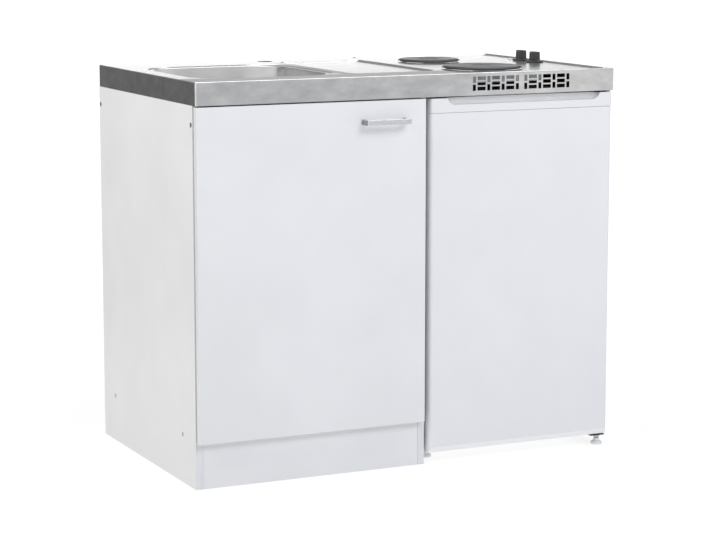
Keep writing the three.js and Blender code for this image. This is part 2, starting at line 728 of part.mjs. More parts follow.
function buildCabinet() {
  const group = new THREE.Group();
  const holes = join(screws.map((screw) => screwBody(screw, RUNNING)));
  const left = block(0, BOARD, carcassFront, UNIT_DEPTH, 0, carcassTop);
  const inner = cabinetWidth - BOARD;
  piece(group, 'side_panel_left', left.subtract(holes), whiteBoard);
  piece(group, 'side_panel_right',
    block(inner, cabinetWidth, carcassFront, UNIT_DEPTH, 0, carcassTop), whiteBoard);
  const between = (y0, y1, z0, z1) => block(BOARD + SEAT, inner - SEAT, y0, y1, z0, z1);
  const floorPanel = between(carcassFront, UNIT_DEPTH, PLINTH_HEIGHT + SEAT,
    PLINTH_HEIGHT + SEAT + BOARD);
  piece(group, 'floor_panel', floorPanel.subtract(holes), whiteBoard);
  piece(group, 'plinth_panel', between(carcassFront, carcassFront + BOARD, 0, PLINTH_HEIGHT),
    whiteBoard);
  const rail = (y0) => between(y0, y0 + BOARD, carcassTop - RAIL_HEIGHT, carcassTop);
  piece(group, 'top_rail_front', rail(carcassFront).subtract(holes), whiteBoard);
  piece(group, 'top_rail_rear', rail(UNIT_DEPTH - BOARD).subtract(holes), whiteBoard);
  for (const screw of screws) piece(group, screw.name, screwBody(screw), zinc);
  return group;
}

const doorLeft = DOOR_LEFT_REVEAL;
const doorRight = cabinetWidth - DOOR_RIGHT_REVEAL;
const doorBottom = PLINTH_HEIGHT + DOOR_FLOOR_LAP;
const doorTop = underside - DOOR_TOP_REVEAL;
const hinges = [
  { end: 'lower', z: doorBottom + HINGE_FROM_END },
  { end: 'upper', z: doorTop - HINGE_FROM_END },
];
const cupX = doorLeft + CUP_FROM_EDGE;

// Cup of a concealed hinge: a pot let into the door and a flange on the door's back.
function hingeCup(z) {
  const radius = CUP_RADIUS - SEAT;
  const floor = BOARD - CUP_DEPTH + SEAT;
  const back = BOARD + SEAT;
  const pot = rodY(cupX, floor, back + CUP_WALL, z, radius);
  const flange = block(cupX - CUP_FLANGE_WIDTH / 2, cupX + CUP_FLANGE_WIDTH / 2, back,
    back + CUP_WALL, z - CUP_FLANGE_LENGTH / 2, z + CUP_FLANGE_LENGTH / 2);
  const hollow = rodY(cupX, floor + CUP_WALL, back + CUP_WALL + CUT, z, radius - CUP_WALL);
  return pot.add(flange).subtract(hollow);
}

// Arm of a concealed hinge on its mounting plate; its folded link reaches into the cup.
function hingeArm(z) {
  const wall = BOARD + SEAT;
  const front = carcassFront + SEAT;
  const back = front + ARM_LENGTH;
  const linkFront = BOARD - CUP_DEPTH + CUP_WALL + 2 * SEAT;
  const half = ARM_WIDTH / 2;
  const plate = block(wall, wall + CUP_WALL, back - 3 * ARM_WIDTH, back - half, z - 20, z + 20);
  const arm = block(wall + CUP_WALL / 2, wall + ARM_HEIGHT, front, back, z - half, z + half);
  const link = block(wall + CUP_WALL + 2, wall + ARM_HEIGHT + 2, linkFront, front + ARM_HEIGHT,
    z - half + 1, z + half - 1);
  return join([plate, arm, link]);
}

function doorHandle() {
  const right = doorRight - HANDLE_FROM_EDGE;
  const left = right - HANDLE_LENGTH;
  const corner = 2;
  const foot = -SEAT;
  const outline = [
    [left, foot], [left, corner - HANDLE_REACH], [left + corner, -HANDLE_REACH],
    [right - corner, -HANDLE_REACH], [right, corner - HANDLE_REACH], [right, foot],
    [right - HANDLE_LEG, foot], [right - HANDLE_LEG, HANDLE_BAR - HANDLE_REACH],
    [left + HANDLE_LEG, HANDLE_BAR - HANDLE_REACH], [left + HANDLE_LEG, foot],
  ];
  const centre = doorTop - HANDLE_FROM_TOP;
  return plan(outline, centre - HANDLE_HEIGHT / 2, centre + HANDLE_HEIGHT / 2);
}

function buildSinkDoor() {
  const group = new THREE.Group();
  let panel = block(doorLeft, doorRight, 0, BOARD, doorBottom, doorTop);
  for (const { z } of hinges) {
    panel = panel.subtract(rodY(cupX, BOARD - CUP_DEPTH, BOARD + CUT, z, CUP_RADIUS));
  }
  piece(group, 'sink_door_panel', panel, whiteBoard);
  piece(group, 'sink_door_handle', doorHandle(), aluminium);
  for (const { end, z } of hinges) {
    piece(group, `hinge_cup_${end}`, hingeCup(z), zinc);
    piece(group, `hinge_arm_${end}`, hingeArm(z), zinc);
  }
  return group;
}

// ---------------------------------------------------------------- refrigerator
// Drawn from its own left side; Y and Z stay those of the unit.

const machineFront = fridgeBack - MACHINE_DEPTH;
const machineTop = FRIDGE_FOOT + MACHINE_HEIGHT;
const cavity = {
  x0: FRIDGE_WALL,
  x1: FRIDGE_WIDTH - FRIDGE_WALL,
  floor: FRIDGE_FOOT + FRIDGE_FLOOR_WALL,
  top: fridgeTop - FRIDGE_BACK_WALL,
  back: fridgeBack - FRIDGE_BACK_WALL,
  stepY: machineFront - FRIDGE_BACK_WALL,
  stepZ: machineTop + FRIDGE_WALL,
};
const axisX = FRIDGE_WIDTH - PIN_INSET_X;
const axisY = FRIDGE_DOOR_SETBACK + PIN_INSET_Y;
const doorTopZ = fridgeTop - BRACKET - DOOR_END_GAP;
const doorFootZ = FRIDGE_FOOT + DOOR_END_GAP;
const trimFootZ = doorTopZ - TRIM_HEIGHT;

// Side outline of the cold space, stepped over the compressor bay, drawn in by inset.
function cavityOutline(front, inset) {
  const { floor, top, back, stepY, stepZ } = cavity;
  return [
    [front, floor + inset], [stepY - inset, floor + inset], [stepY - inset, stepZ + inset],
    [back - inset, stepZ + inset], [back - inset, top - inset], [front, top - inset],
  ];
}

function fridgeCabinet() {
  const case_ = block(0, FRIDGE_WIDTH, fridgeFront, fridgeBack, FRIDGE_FOOT, fridgeTop);
  const cold = sideProfile(cavityOutline(fridgeFront - CUT, 0), cavity.x0, cavity.x1);
  const bay = block(CASE_SKIN, FRIDGE_WIDTH - CASE_SKIN, machineFront, fridgeBack + CUT,
    FRIDGE_FOOT + CASE_SKIN, machineTop);
  const pocket = block(FRIDGE_WIDTH - BRACKET_WIDTH - SEAT, FRIDGE_WIDTH + CUT, fridgeFront - CUT,
    fridgeFront + BRACKET_REACH + SEAT, fridgeTop - BRACKET - SEAT, fridgeTop + CUT);
  return case_.subtract(cold).subtract(bay).subtract(pocket);
}

const dialBoss = { x: cavity.x1 - LINER - SEAT, depth: 14, half: 26 };

function fridgeLiner() {
  const { x0, x1 } = cavity;
  const outer = sideProfile(cavityOutline(fridgeFront, SEAT), x0 + SEAT, x1 - SEAT);
  const inner = sideProfile(cavityOutline(fridgeFront - CUT, LINER + SEAT),
    x0 + LINER + SEAT, x1 - LINER - SEAT);
  let liner = outer.subtract(inner);
  const left = x0 + SEAT + LINER / 2;
  const right = x1 - SEAT - LINER / 2;
  const ledgeReach = SHELF_LEDGE + LINER / 2;
  const ledge = (y1, z) => [
    block(left, left + ledgeReach, fridgeFront + SHELF_FRONT, y1 - LINER, z - SHELF_LEDGE, z),
    block(right - ledgeReach, right, fridgeFront + SHELF_FRONT, y1 - LINER, z - SHELF_LEDGE, z),
  ];
  const { x, depth, half } = dialBoss;
  const dialY = fridgeFront + DIAL_FROM_FRONT;
  const boss = block(x - depth, x + LINER / 2, dialY - half, dialY + half,
    DIAL_HEIGHT - half, DIAL_HEIGHT + half);
  const dialHole = rodX(x - depth - CUT, x - LINER, dialY, DIAL_HEIGHT,
    SPINDLE_RADIUS + RUNNING, 16);
  const upper = ledge(cavity.back, UPPER_SHELF_HEIGHT);
  const lower = ledge(cavity.stepY, cavity.stepZ + LINER + SEAT);
  liner = join([liner, ...upper, ...lower, boss]);
  return liner.subtract(dialHole);
}

function thermostatKnob() {
  const x = dialBoss.x - dialBoss.depth - SEAT;
  const dialY = fridgeFront + DIAL_FROM_FRONT;
  const disc = rodX(x - 8, x, dialY, DIAL_HEIGHT, DIAL_RADIUS, 28);
  const grip = block(x - 14, x - 7, dialY - 3, dialY + 3, DIAL_HEIGHT - DIAL_RADIUS + 2,
    DIAL_HEIGHT + DIAL_RADIUS - 2);
  const pin = rodX(x - 1, x + dialBoss.depth - LINER - 1, dialY, DIAL_HEIGHT, SPINDLE_RADIUS, 16);
  return join([disc, grip, pin]);
}

const freezer = {
  x0: cavity.x0 + LINER + SEAT + FREEZER_SIDE_GAP,
  x1: cavity.x1 - LINER - SEAT - FREEZER_SIDE_GAP,
  y0: fridgeFront + FREEZER_SETBACK,
  top: cavity.top - LINER - 2 * SEAT,
};
freezer.floor = freezer.top - FREEZER_HEIGHT;
freezer.pinY = freezer.y0 - FLAP / 2 - SEAT;
freezer.pinZ = freezer.top - FREEZER_WALL - FLAP / 2 - 3;

function freezerBox() {
  const { x0, x1, y0, top, floor, pinY, pinZ } = freezer;
  const ears = FLAP + 4;
  const back = y0 + FREEZER_LENGTH;
  const wallZ1 = top - FREEZER_WALL;
  const shell = block(x0, x1, y0, back, floor, top)
    .subtract(block(x0 + FREEZER_WALL, x1 - FREEZER_WALL, y0 - CUT, back - FREEZER_WALL,
      floor + FREEZER_WALL, wallZ1));
  const ear = (x) => block(x, x + FREEZER_WALL, y0 - ears, y0 + 1, floor, top);
  const pinHole = rodX(x0 - CUT, x1 + CUT, pinY, pinZ, FLAP_PIN_RADIUS + RUNNING);
  return join([shell, ear(x0), ear(x1 - FREEZER_WALL)]).subtract(pinHole);
}

function freezerFlap() {
  const { x0, x1, floor, pinY, pinZ } = freezer;
  const inner0 = x0 + FREEZER_WALL + 1;
  const inner1 = x1 - FREEZER_WALL - 1;
  const plate = block(inner0, inner1, pinY - FLAP / 2, pinY + FLAP / 2, floor + 1,
    pinZ + FLAP / 2);
  const pins = rodX(x0 + SEAT, x1 - SEAT, pinY, pinZ, FLAP_PIN_RADIUS);
  return plate.add(pins);
}

function shelfPlate(z, y1) {
  const edge = LINER + SEAT + 1.5;
  return block(cavity.x0 + edge, cavity.x1 - edge, fridgeFront + SHELF_FRONT, y1, z + SEAT,
    z + SEAT + SHELF);
}

function crisperDrawer() {
  const margin = LINER + SEAT + SHELF_LEDGE + 4;
  const x0 = cavity.x0 + margin;
  const x1 = cavity.x1 - margin;
  const y0 = fridgeFront + SHELF_FRONT;
  const y1 = cavity.stepY - LINER - SEAT - 4;
  const z0 = cavity.floor + LINER + 2 * SEAT;
  const z1 = cavity.stepZ - CRISPER_HEADROOM;
  const grip = block((x0 + x1 - CRISPER_GRIP) / 2, (x0 + x1 + CRISPER_GRIP) / 2,
    y0 - CRISPER_GRIP_REACH, y0 + CRISPER_WALL / 2, z1 - 2 * CRISPER_WALL, z1);
  return tub(x0, x1, y0, y1, z0, z1, CRISPER_WALL).add(grip);
}

// Compressor can on its base plate, standing in the bay at the back.
function compressorBody() {
  const x = FRIDGE_WIDTH / 2;
  const y = (machineFront + fridgeBack) / 2;
  const z = FRIDGE_FOOT + CASE_SKIN + SEAT;
  const radius = COMPRESSOR_RADIUS;
  const at = (share) => z + share * COMPRESSOR_HEIGHT;
  const can = turned([
    [0, at(0.04)], [radius * 0.7, at(0.04)], [radius * 0.95, at(0.11)], [radius, at(0.21)],
    [radius, at(0.56)], [radius * 1.04, at(0.565)], [radius * 1.04, at(0.6)], [radius, at(0.605)],
    [radius, at(0.81)], [radius * 0.85, at(0.93)], [radius * 0.5, at(0.99)], [0, at(1)],
  ], x, y, 28);
  const base = block(x - radius * 1.3, x + radius * 1.3, y - radius * 0.7, y + radius * 0.7,
    z, at(0.05));
  return can.add(base);
}

// A route through a list of points, with one extrusion step for each of them.
class RouteCurve extends THREE.Curve {
  constructor(points) {
    super();
    this.points = points;
  }

  getUtoTmapping(u) {
    return u;
  }

  getPoint(t) {
    const place = t * (this.points.length - 1);
    const first = Math.min(Math.floor(place), this.points.length - 2);
    return this.points[first].clone().lerp(this.points[first + 1], place - first);
  }
}

// Serpentine tube on the back of the case, on four stand-offs.
function condenserGrid() {
  const y = fridgeBack + CONDENSER_STAND;
  const low = machineTop + 40;
  const high = fridgeTop - 40;
  const pitch = (high - low) / (CONDENSER_RUNS - 1);
  const bend = pitch / 2;
  const left = CONDENSER_MARGIN + bend;
  const right = FRIDGE_WIDTH - CONDENSER_MARGIN - bend;
  const bendSteps = 5;
  const points = [];
  for (let run = 0; run < CONDENSER_RUNS; run++) {
    const z = low + run * pitch;
    const rightwards = run % 2 === 0;
    const [start, end] = rightwards ? [left, right] : [right, left];
    points.push(new THREE.Vector3(start, y, z), new THREE.Vector3(end, y, z));
    if (run === CONDENSER_RUNS - 1) break;
    for (let i = 1; i < bendSteps; i++) {
      const angle = Math.PI * (i / bendSteps - 0.5);
      const side = rightwards ? 1 : -1;
      points.push(new THREE.Vector3(end + side * bend * Math.cos(angle), y,
        z + bend + bend * Math.sin(angle)));
    }
  }
  const section = new THREE.Shape();
  section.absarc(0, 0, CONDENSER_TUBE, 0, 2 * Math.PI);
  const tube = solid(new THREE.ExtrudeGeometry(section, {
    steps: points.length - 1, curveSegments: 3, bevelEnabled: false,
    extrudePath: new RouteCurve(points),
  }));
  const strap = (x) => block(x - 8, x + 8, y - 0.75, y + 0.75, low - 8, high + 8);
  const stand = (x, z) => block(x - 5, x + 5, fridgeBack + SEAT, y, z - 5, z + 5);
  const straps = [left + 20, right - 20];
  return join([tube, ...straps.map(strap),
    ...straps.flatMap((x) => [stand(x, low + pitch / 2), stand(x, high - pitch / 2)])]);
}

// Plan outline of the door: round front corners, square at the back.
function fridgeDoorOutline() {
  const front = FRIDGE_DOOR_SETBACK;
  const radius = FRIDGE_DOOR_RADIUS;
  const steps = 5;
  const corner = (x, start) => Array.from({ length: steps + 1 }, (_, i) => {
    const angle = start + i / steps * Math.PI / 2;
    return [x + radius * Math.cos(angle), front + radius + radius * Math.sin(angle)];
  });
  return [
    ...corner(radius, Math.PI), ...corner(FRIDGE_WIDTH - radius, 1.5 * Math.PI),
    [FRIDGE_WIDTH, fridgeDoorBack], [0, fridgeDoorBack],
  ];
}

function pinHole(z0, z1) {
  return rod(axisX, axisY, z0, z1, PIN_RADIUS + RUNNING, 20);
}

function fridgeDoorPanel() {
  const front = FRIDGE_DOOR_SETBACK;
  const slope = DOOR_FOOT_SETBACK / DOOR_FOOT_BEVEL;
  const bevel = sideProfile([
    [front - CUT, doorFootZ - CUT], [front + DOOR_FOOT_SETBACK + CUT * slope, doorFootZ - CUT],
    [front, doorFootZ + DOOR_FOOT_BEVEL], [front - CUT, doorFootZ + DOOR_FOOT_BEVEL],
  ], -CUT, FRIDGE_WIDTH + CUT);
  return plan(fridgeDoorOutline(), doorFootZ, trimFootZ - TRIM_GROOVE).subtract(bevel)
    .subtract(pinHole(doorFootZ - CUT, doorFootZ + PIN_LENGTH));
}

// Top band of the door with the scooped grip, open to the front and to the top.
function fridgeDoorTrim() {
  const z = doorTopZ - GRIP_HEIGHT;
  const right = GRIP_LEFT + GRIP_WIDTH;
  const round = 5;
  const scoop = frontProfile([
    [GRIP_LEFT, doorTopZ + CUT], [GRIP_LEFT, doorTopZ], [GRIP_LEFT + GRIP_TAPER - round, z + 2],
    [GRIP_LEFT + GRIP_TAPER, z], [right - GRIP_TAPER, z], [right - GRIP_TAPER + round, z + 2],
    [right, doorTopZ], [right, doorTopZ + CUT],
  ], FRIDGE_DOOR_SETBACK - CUT, FRIDGE_DOOR_SETBACK + GRIP_DEPTH);
  return plan(fridgeDoorOutline(), trimFootZ, doorTopZ).subtract(scoop)
    .subtract(pinHole(doorTopZ - PIN_LENGTH, doorTopZ + CUT));
}

const seal = {
  x0: GASKET_INSET,
  x1: FRIDGE_WIDTH - GASKET_INSET,
  z0: doorFootZ + GASKET_INSET,
  z1: doorTopZ - GASKET_INSET,
  y0: fridgeDoorBack + SEAT,
};

function doorGasket() {
  const { x0, x1, y0, z0, z1 } = seal;
  const y1 = y0 + GASKET;
  return block(x0, x1, y0, y1, z0, z1).subtract(block(x0 + GASKET_WIDTH, x1 - GASKET_WIDTH,
    y0 - CUT, y1 + CUT, z0 + GASKET_WIDTH, z1 - GASKET_WIDTH));
}

// Inner skin of the door with two upright beams that carry the racks.
function fridgeDoorLiner() {
  const edge = GASKET_WIDTH + SEAT;
  const { x0, x1, y0, z0, z1 } = seal;
  const skin = block(x0 + edge, x1 - edge, y0, y0 + DOOR_SKIN, z0 + edge, z1 - edge);
  const left = RACK_BEAM_INSET;
  const right = FRIDGE_WIDTH - RACK_BEAM_INSET;
  const root = y0 + DOOR_SKIN / 2;
  const foot = LOWER_RACK - RACK_BEAM;
  const beam = (x) => block(x, x + RACK_BEAM, root, y0 + RACK_BEAM_REACH, foot,
    UPPER_RACK + UPPER_RACK_HEIGHT + RACK_BEAM);
  const cross = block(left, right, root, y0 + RACK_BEAM, foot, LOWER_RACK - RACK_BEAM / 2);
  return join([skin, beam(left), beam(right - RACK_BEAM), cross]);
}

function doorRack(z0, height) {
  const x0 = RACK_BEAM_INSET + RACK_BEAM + SEAT;
  const x1 = FRIDGE_WIDTH - x0;
  const y0 = seal.y0 + DOOR_SKIN + SEAT;
  const y1 = y0 + RACK_REACH;
  const slot = block(x0 + RACK_SLOT_INSET, x1 - RACK_SLOT_INSET, y1 - RACK_WALL - CUT, y1 + CUT,
    z0 + height * 0.45, z0 + height * 0.75);
  return tub(x0, x1, y0, y1, z0, z0 + height, RACK_WALL).subtract(slot);
}

// Hinge plate with its pin; the pin points into the door.
function hingeBracket(z, pinFrom, pinTo) {
  const front = axisY - 10;
  const plate = block(FRIDGE_WIDTH - BRACKET_WIDTH, FRIDGE_WIDTH - 2, front,
    fridgeFront + BRACKET_REACH, z, z + BRACKET);
  return plate.add(rod(axisX, axisY, pinFrom, pinTo, PIN_RADIUS, 20));
}

function footBody(x, y, top) {
  return turned([
    [0, 0], [FOOT_RADIUS, 0], [FOOT_RADIUS, FOOT_PAD - 2], [FOOT_RADIUS - 2, FOOT_PAD],
    [4, FOOT_PAD], [4, top], [0, top],
  ], x, y, 20);
}

function buildFridge() {
  const group = new THREE.Group();
  group.position.x = fridgeLeft;
  piece(group, 'fridge_cabinet', fridgeCabinet(), whiteMetal);
  piece(group, 'fridge_liner', fridgeLiner(), whitePlastic);
  piece(group, 'thermostat_knob', thermostatKnob(), whitePlastic);
  piece(group, 'freezer_box', freezerBox(), aluminium);
  piece(group, 'freezer_flap', freezerFlap(), whitePlastic);
  const shelfBack = cavity.back - LINER - 4;
  piece(group, 'shelf_upper', shelfPlate(UPPER_SHELF_HEIGHT, shelfBack), glass);
  piece(group, 'shelf_lower', shelfPlate(cavity.stepZ + LINER + SEAT, shelfBack), glass);
  piece(group, 'crisper_drawer', crisperDrawer(), glass);
  piece(group, 'compressor', compressorBody(), blackPaint);
  piece(group, 'condenser', condenserGrid(), blackPaint);

  piece(group, 'fridge_door_panel', fridgeDoorPanel(), whiteMetal);
  piece(group, 'fridge_door_trim', fridgeDoorTrim(), whitePlastic);
  piece(group, 'fridge_door_liner', fridgeDoorLiner(), whitePlastic);
  piece(group, 'door_gasket', doorGasket(), greyRubber);
  piece(group, 'door_rack_lower', doorRack(LOWER_RACK, LOWER_RACK_HEIGHT), glass);
  piece(group, 'door_rack_upper', doorRack(UPPER_RACK, UPPER_RACK_HEIGHT), glass);

  const topPlate = fridgeTop - BRACKET;
  piece(group, 'hinge_bracket_top',
    hingeBracket(topPlate, topPlate - PIN_LENGTH + 1, fridgeTop), blackPaint);
  const lowPlate = FRIDGE_FOOT - SEAT - BRACKET;
  piece(group, 'hinge_bracket_bottom',
    hingeBracket(lowPlate, lowPlate, FRIDGE_FOOT + PIN_LENGTH - 1), blackPaint);

  const inset = 30;
  const frontY = fridgeFront + inset;
  const rearY = fridgeBack - inset;
  const caseFoot = FRIDGE_FOOT - SEAT;
  piece(group, 'foot_front_left', footBody(inset, frontY, caseFoot), whitePlastic);
  piece(group, 'foot_front_right', footBody(FRIDGE_WIDTH - FOOT_RADIUS - 2,
    axisY + 4, lowPlate - SEAT), whitePlastic);
  piece(group, 'foot_rear_left', footBody(inset, rearY, caseFoot), whitePlastic);
  piece(group, 'foot_rear_right', footBody(FRIDGE_WIDTH - inset, rearY, caseFoot), whitePlastic);
  return group;
}

// ---------------------------------------------------------------- assembly

const kitchenette = new THREE.Group();
kitchenette.add(buildCabinet(), buildSinkDoor(), buildWorktop(), buildFridge());
kitchenette.position.set(-UNIT_WIDTH / 2, (HANDLE_REACH - UNIT_DEPTH) / 2, 0);

export default kitchenette;
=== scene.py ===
"""Kitchenette: sink base cabinet and small refrigerator under one pressed stainless worktop.

The worktop carries a bowl with its waste, a draining field and a hob with two cast plates.
"""

import json
import math

import bmesh
import bpy
from mathutils import Matrix, Vector


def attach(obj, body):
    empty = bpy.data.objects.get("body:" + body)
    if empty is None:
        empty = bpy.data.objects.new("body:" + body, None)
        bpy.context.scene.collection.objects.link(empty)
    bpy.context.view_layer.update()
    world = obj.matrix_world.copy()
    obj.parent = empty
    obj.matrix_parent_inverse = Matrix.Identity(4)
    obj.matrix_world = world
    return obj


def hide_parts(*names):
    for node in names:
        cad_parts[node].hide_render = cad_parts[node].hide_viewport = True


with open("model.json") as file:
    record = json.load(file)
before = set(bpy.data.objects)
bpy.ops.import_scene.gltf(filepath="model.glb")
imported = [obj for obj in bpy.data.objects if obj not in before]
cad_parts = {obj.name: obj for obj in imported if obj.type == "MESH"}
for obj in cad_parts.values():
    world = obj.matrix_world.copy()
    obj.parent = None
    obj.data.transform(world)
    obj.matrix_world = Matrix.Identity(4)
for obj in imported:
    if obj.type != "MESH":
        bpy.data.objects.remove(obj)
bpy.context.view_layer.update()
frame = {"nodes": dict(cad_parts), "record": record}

# Places below are in mm: X from the left end, Y from the front of the apron, Z from the floor.
MM = 0.001
LENGTH, DEPTH, RIM = 1000.0, 600.0, 860.0
ORIGIN = Vector((-500.0, -285.0, 0.0))
ROOT = "kitchenette"

APRON_FOOT = 811.0
SHEET = 1.0
# Fields in the worktop: left, right, front and back edge.
BOWL = (52.0, 364.0, 92.0, 446.0)
BORDER = (38.0, 378.0, 78.0, 460.0)
DRAINER = (402.0, 608.0, 98.0, 510.0)
HOB = (622.0, 990.0, 12.0, 588.0)
BOWL_FLOOR = 710.0
HOB_FIELD = RIM - 3.5
# Pressed fields: edges, level, how far a side leans out per mm of height, radius of the corners
# seen from above, and radius of the steps.
PRESSED = (
    (BORDER, RIM - 2.0, 0.5, 80.0, 0.3),
    (DRAINER, RIM - 4.0, 0.6, 22.0, 0.7),
    (HOB, HOB_FIELD, 0.7, 22.0, 0.7),
)
# Middles of the waste, tap hole, plates, knobs and lamp: X and Y, and the radius of two of them.
DRAIN = (208.0, 269.0)
TAP_HOLE = (384.0, 538.0, 17.5)
PLATES = {"front": (750.0, 157.0, 90.0), "rear": (750.0, 418.0, 72.5)}
KNOBS = {"front": (962.0, 290.0), "rear": (962.0, 354.0)}
LAMP = (962.0, 407.0)
# Levelling feet: X, Y and the level of the case above each.
FEET = {
    "foot_front_left": (572.5, 80.0, 24.75),
    "foot_front_right": (982.5, 22.0, 22.5),
    "foot_rear_left": (572.5, 530.0, 24.75),
    "foot_rear_right": (967.5, 530.0, 24.75),
}
END_CAP_TOP = 38.8


def at(x, y, z):
    """A place in mm as a point of the scene, in metres."""
    return (Vector((x, y, z)) + ORIGIN) * MM


# ---------------------------------------------------------------- camera, floor and light

# The camera is fitted to the photo: focal length in its pixels, place in metres, turns in degrees.
PHOTO_WIDTH, FOCAL_LENGTH, SENSOR = 716, 2259.6, 36.0
CAMERA_PLACE, CAMERA_TILT, CAMERA_TURN = (-2.1768, -4.5936, 1.2073), -9.05, -25.39

scene = bpy.context.scene
scene.view_settings.view_transform = "Standard"

bpy.ops.object.camera_add()
camera = bpy.context.object
camera.name = "camera"
camera.data.sensor_width = SENSOR
camera.data.lens = FOCAL_LENGTH / PHOTO_WIDTH * SENSOR
camera.location = CAMERA_PLACE
camera.rotation_euler = (math.radians(90 + CAMERA_TILT), 0.0, math.radians(CAMERA_TURN))
scene.camera = camera

NOISE_SPAN = (0.32, 0.68)  # nearly all values of a noise lie between these


def srgb(colour):
    """Linear RGBA of an sRGB hex colour."""
    parts = [int(colour[i : i + 2], 16) / 255 for i in (1, 3, 5)]
    return [c / 12.92 if c <= 0.04045 else ((c + 0.055) / 1.055) ** 2.4 for c in parts] + [1.0]


def add_node(tree, kind, values=None, into=None, shades=None, **settings):
    """One shader node with its settings and links.

    Values go in by input name or index: a socket or a node's output is linked, the rest is set.
    The output goes on into the socket `into`. A colour ramp runs between two hex shades.
    """

    def output(node):
        return next(socket for socket in node.outputs if not socket.is_unavailable)

    made = tree.nodes.new("ShaderNode" + kind)
    for name, value in settings.items():
        setattr(made, name, value)
    for name, value in (values or {}).items():
        if isinstance(value, bpy.types.Node):
            value = output(value)
        if isinstance(value, bpy.types.NodeSocket):
            tree.links.new(value, made.inputs[name])
        else:
            made.inputs[name].default_value = value
    if shades:
        for stop, place, shade in zip(made.color_ramp.elements, NOISE_SPAN, shades):
            stop.position = place
            stop.color = srgb(shade)
    if into is not None:
        tree.links.new(output(made), into)
    return made


def seen_rays(tree):
    """1 for the rays that show the background: seen directly, in a gloss or through glass."""
    rays = add_node(tree, "LightPath").outputs
    seen = rays["Is Camera Ray"]
    for kind in ("Is Glossy Ray", "Is Transmission Ray"):
        seen = add_node(tree, "Math", {0: seen, 1: rays[kind]}, operation="ADD", use_clamp=True)
    return seen


def build_world():
    """Pale light from all round; the rays that show the background see it plain white."""
    world = bpy.data.worlds.new("studio")
    scene.world = world
    world.use_nodes = True
    tree = world.node_tree
    tree.nodes.clear()
    room = add_node(tree, "Background", {"Color": srgb("#F8F8F9"), "Strength": 0.36})
    backdrop = add_node(tree, "Background", {"Color": srgb("#FFFFFF"), "Strength": 1.0})
    mix = add_node(tree, "MixShader", {0: seen_rays(tree), 1: room, 2: backdrop})
    add_node(tree, "OutputWorld", {"Surface": mix})


def build_floor():
    """White paper: matt with a contact shadow near the unit, glowing to plain white further off."""
    bpy.ops.mesh.primitive_plane_add(size=40.0)
    floor = bpy.context.object
    floor.name = "floor"
    paper = bpy.data.materials.new("white_paper_floor")
    paper.use_nodes = True
    tree = paper.node_tree
    tree.nodes.clear()
    place = add_node(tree, "TexCoord").outputs["Object"]
    reach = add_node(tree, "VectorMath", {0: place}, operation="LENGTH")
    near_to_far = {"From Min": 0.7, "From Max": 3.0, "To Min": 1.4, "To Max": 1.75}
    power = add_node(tree, "MapRange", {"Value": reach, **near_to_far})
    matt = add_node(tree, "BsdfDiffuse", {"Color": srgb("#C4C4C4")})
    glow = add_node(tree, "Emission", {"Color": srgb("#FFFFFF"), "Strength": power})
    share = {"Value": seen_rays(tree), "To Min": 0.4, "To Max": 0.6}
    mix = add_node(tree, "MixShader", {0: add_node(tree, "MapRange", share), 1: matt, 2: glow})
    add_node(tree, "OutputMaterial", {"Surface": mix})
    floor.data.materials.append(paper)


def build_card(name, place, target, size, colour, strength=1.0):
    """A studio card that only shows in reflections, as a flag beside the set does."""
    bpy.ops.mesh.primitive_plane_add(size=1.0)
    card = bpy.context.object
    card.name = name
    card.scale = (*size, 1.0)
    card.location = place
    card.rotation_euler = (Vector(target) - Vector(place)).to_track_quat("Z", "Y").to_euler()
    cloth = bpy.data.materials.new(name + "_cloth")
    cloth.use_nodes = True
    tree = cloth.node_tree
    tree.nodes.clear()
    shade = add_node(tree, "Emission", {"Color": srgb(colour), "Strength": strength})
    add_node(tree, "OutputMaterial", {"Surface": shade})
    card.data.materials.append(cloth)
    card.visible_camera = False
    card.visible_diffuse = False
    card.visible_shadow = False
    card.visible_transmission = False


def build_lamp(name, place, target, size, power, colour="#FFFFFF"):
    """A soft box that lights the set but doesn't show in the metal."""
    bpy.ops.object.light_add(type="AREA", location=place)
    lamp = bpy.context.object
    lamp.name = name
    lamp.data.shape = "RECTANGLE"
    lamp.data.size, lamp.data.size_y = size
    lamp.data.energy = power
    lamp.data.color = srgb(colour)[:3]
    lamp.rotation_euler = (Vector(target) - Vector(place)).to_track_quat("-Z", "Y").to_euler()
    lamp.visible_camera = False
    lamp.visible_glossy = False


# Place, target and size in metres, then a card's colour and strength or a lamp's watts and colour.
build_world()
build_floor()
build_card("flag_left", (-1.45, 1.3, 0.55), (-0.45, 0.0, 0.83), (2.2, 1.7), "#747474")
build_card("card_front", (0.35, -2.4, 0.25), (0.35, -0.3, 0.83), (2.1, 1.9), "#DADBDD")
build_card("card_right", (2.2, -2.4, 0.25), (2.2, -0.3, 0.83), (1.6, 1.9), "#FFFFFF")
build_card("card_back", (1.35, 1.12, 0.86), (1.35, 0.0, 0.86), (3.2, 0.52), "#FFFFFF", 1.6)
build_card("flag_high", (1.2, 1.3, 1.9), (1.2, 0.0, 1.6), (5.0, 1.5), "#9A9A9A")
build_card("card_top", (0.0, -0.1, 3.0), (0.0, -0.1, 0.86), (3.6, 2.0), "#FFFFFF", 3.2)
build_card("flag_top", (0.3, -1.45, 2.6), (0.2, 0.0, 0.86), (4.0, 1.6), "#8A8A8A")
build_lamp("key_front", (0.7, -3.4, 2.9), (0.1, 0.0, 0.5), (2.6, 1.6), 69.0, "#F2F6FF")
build_lamp("fill_left", (-3.2, -0.4, 2.9), (-0.4, 0.0, 0.6), (2.0, 1.6), 63.5, "#FFFBF6")
build_lamp("back_top", (1.6, 2.9, 1.75), (0.0, 0.0, 0.86), (3.2, 1.2), 30.0)

# ---------------------------------------------------------------- materials

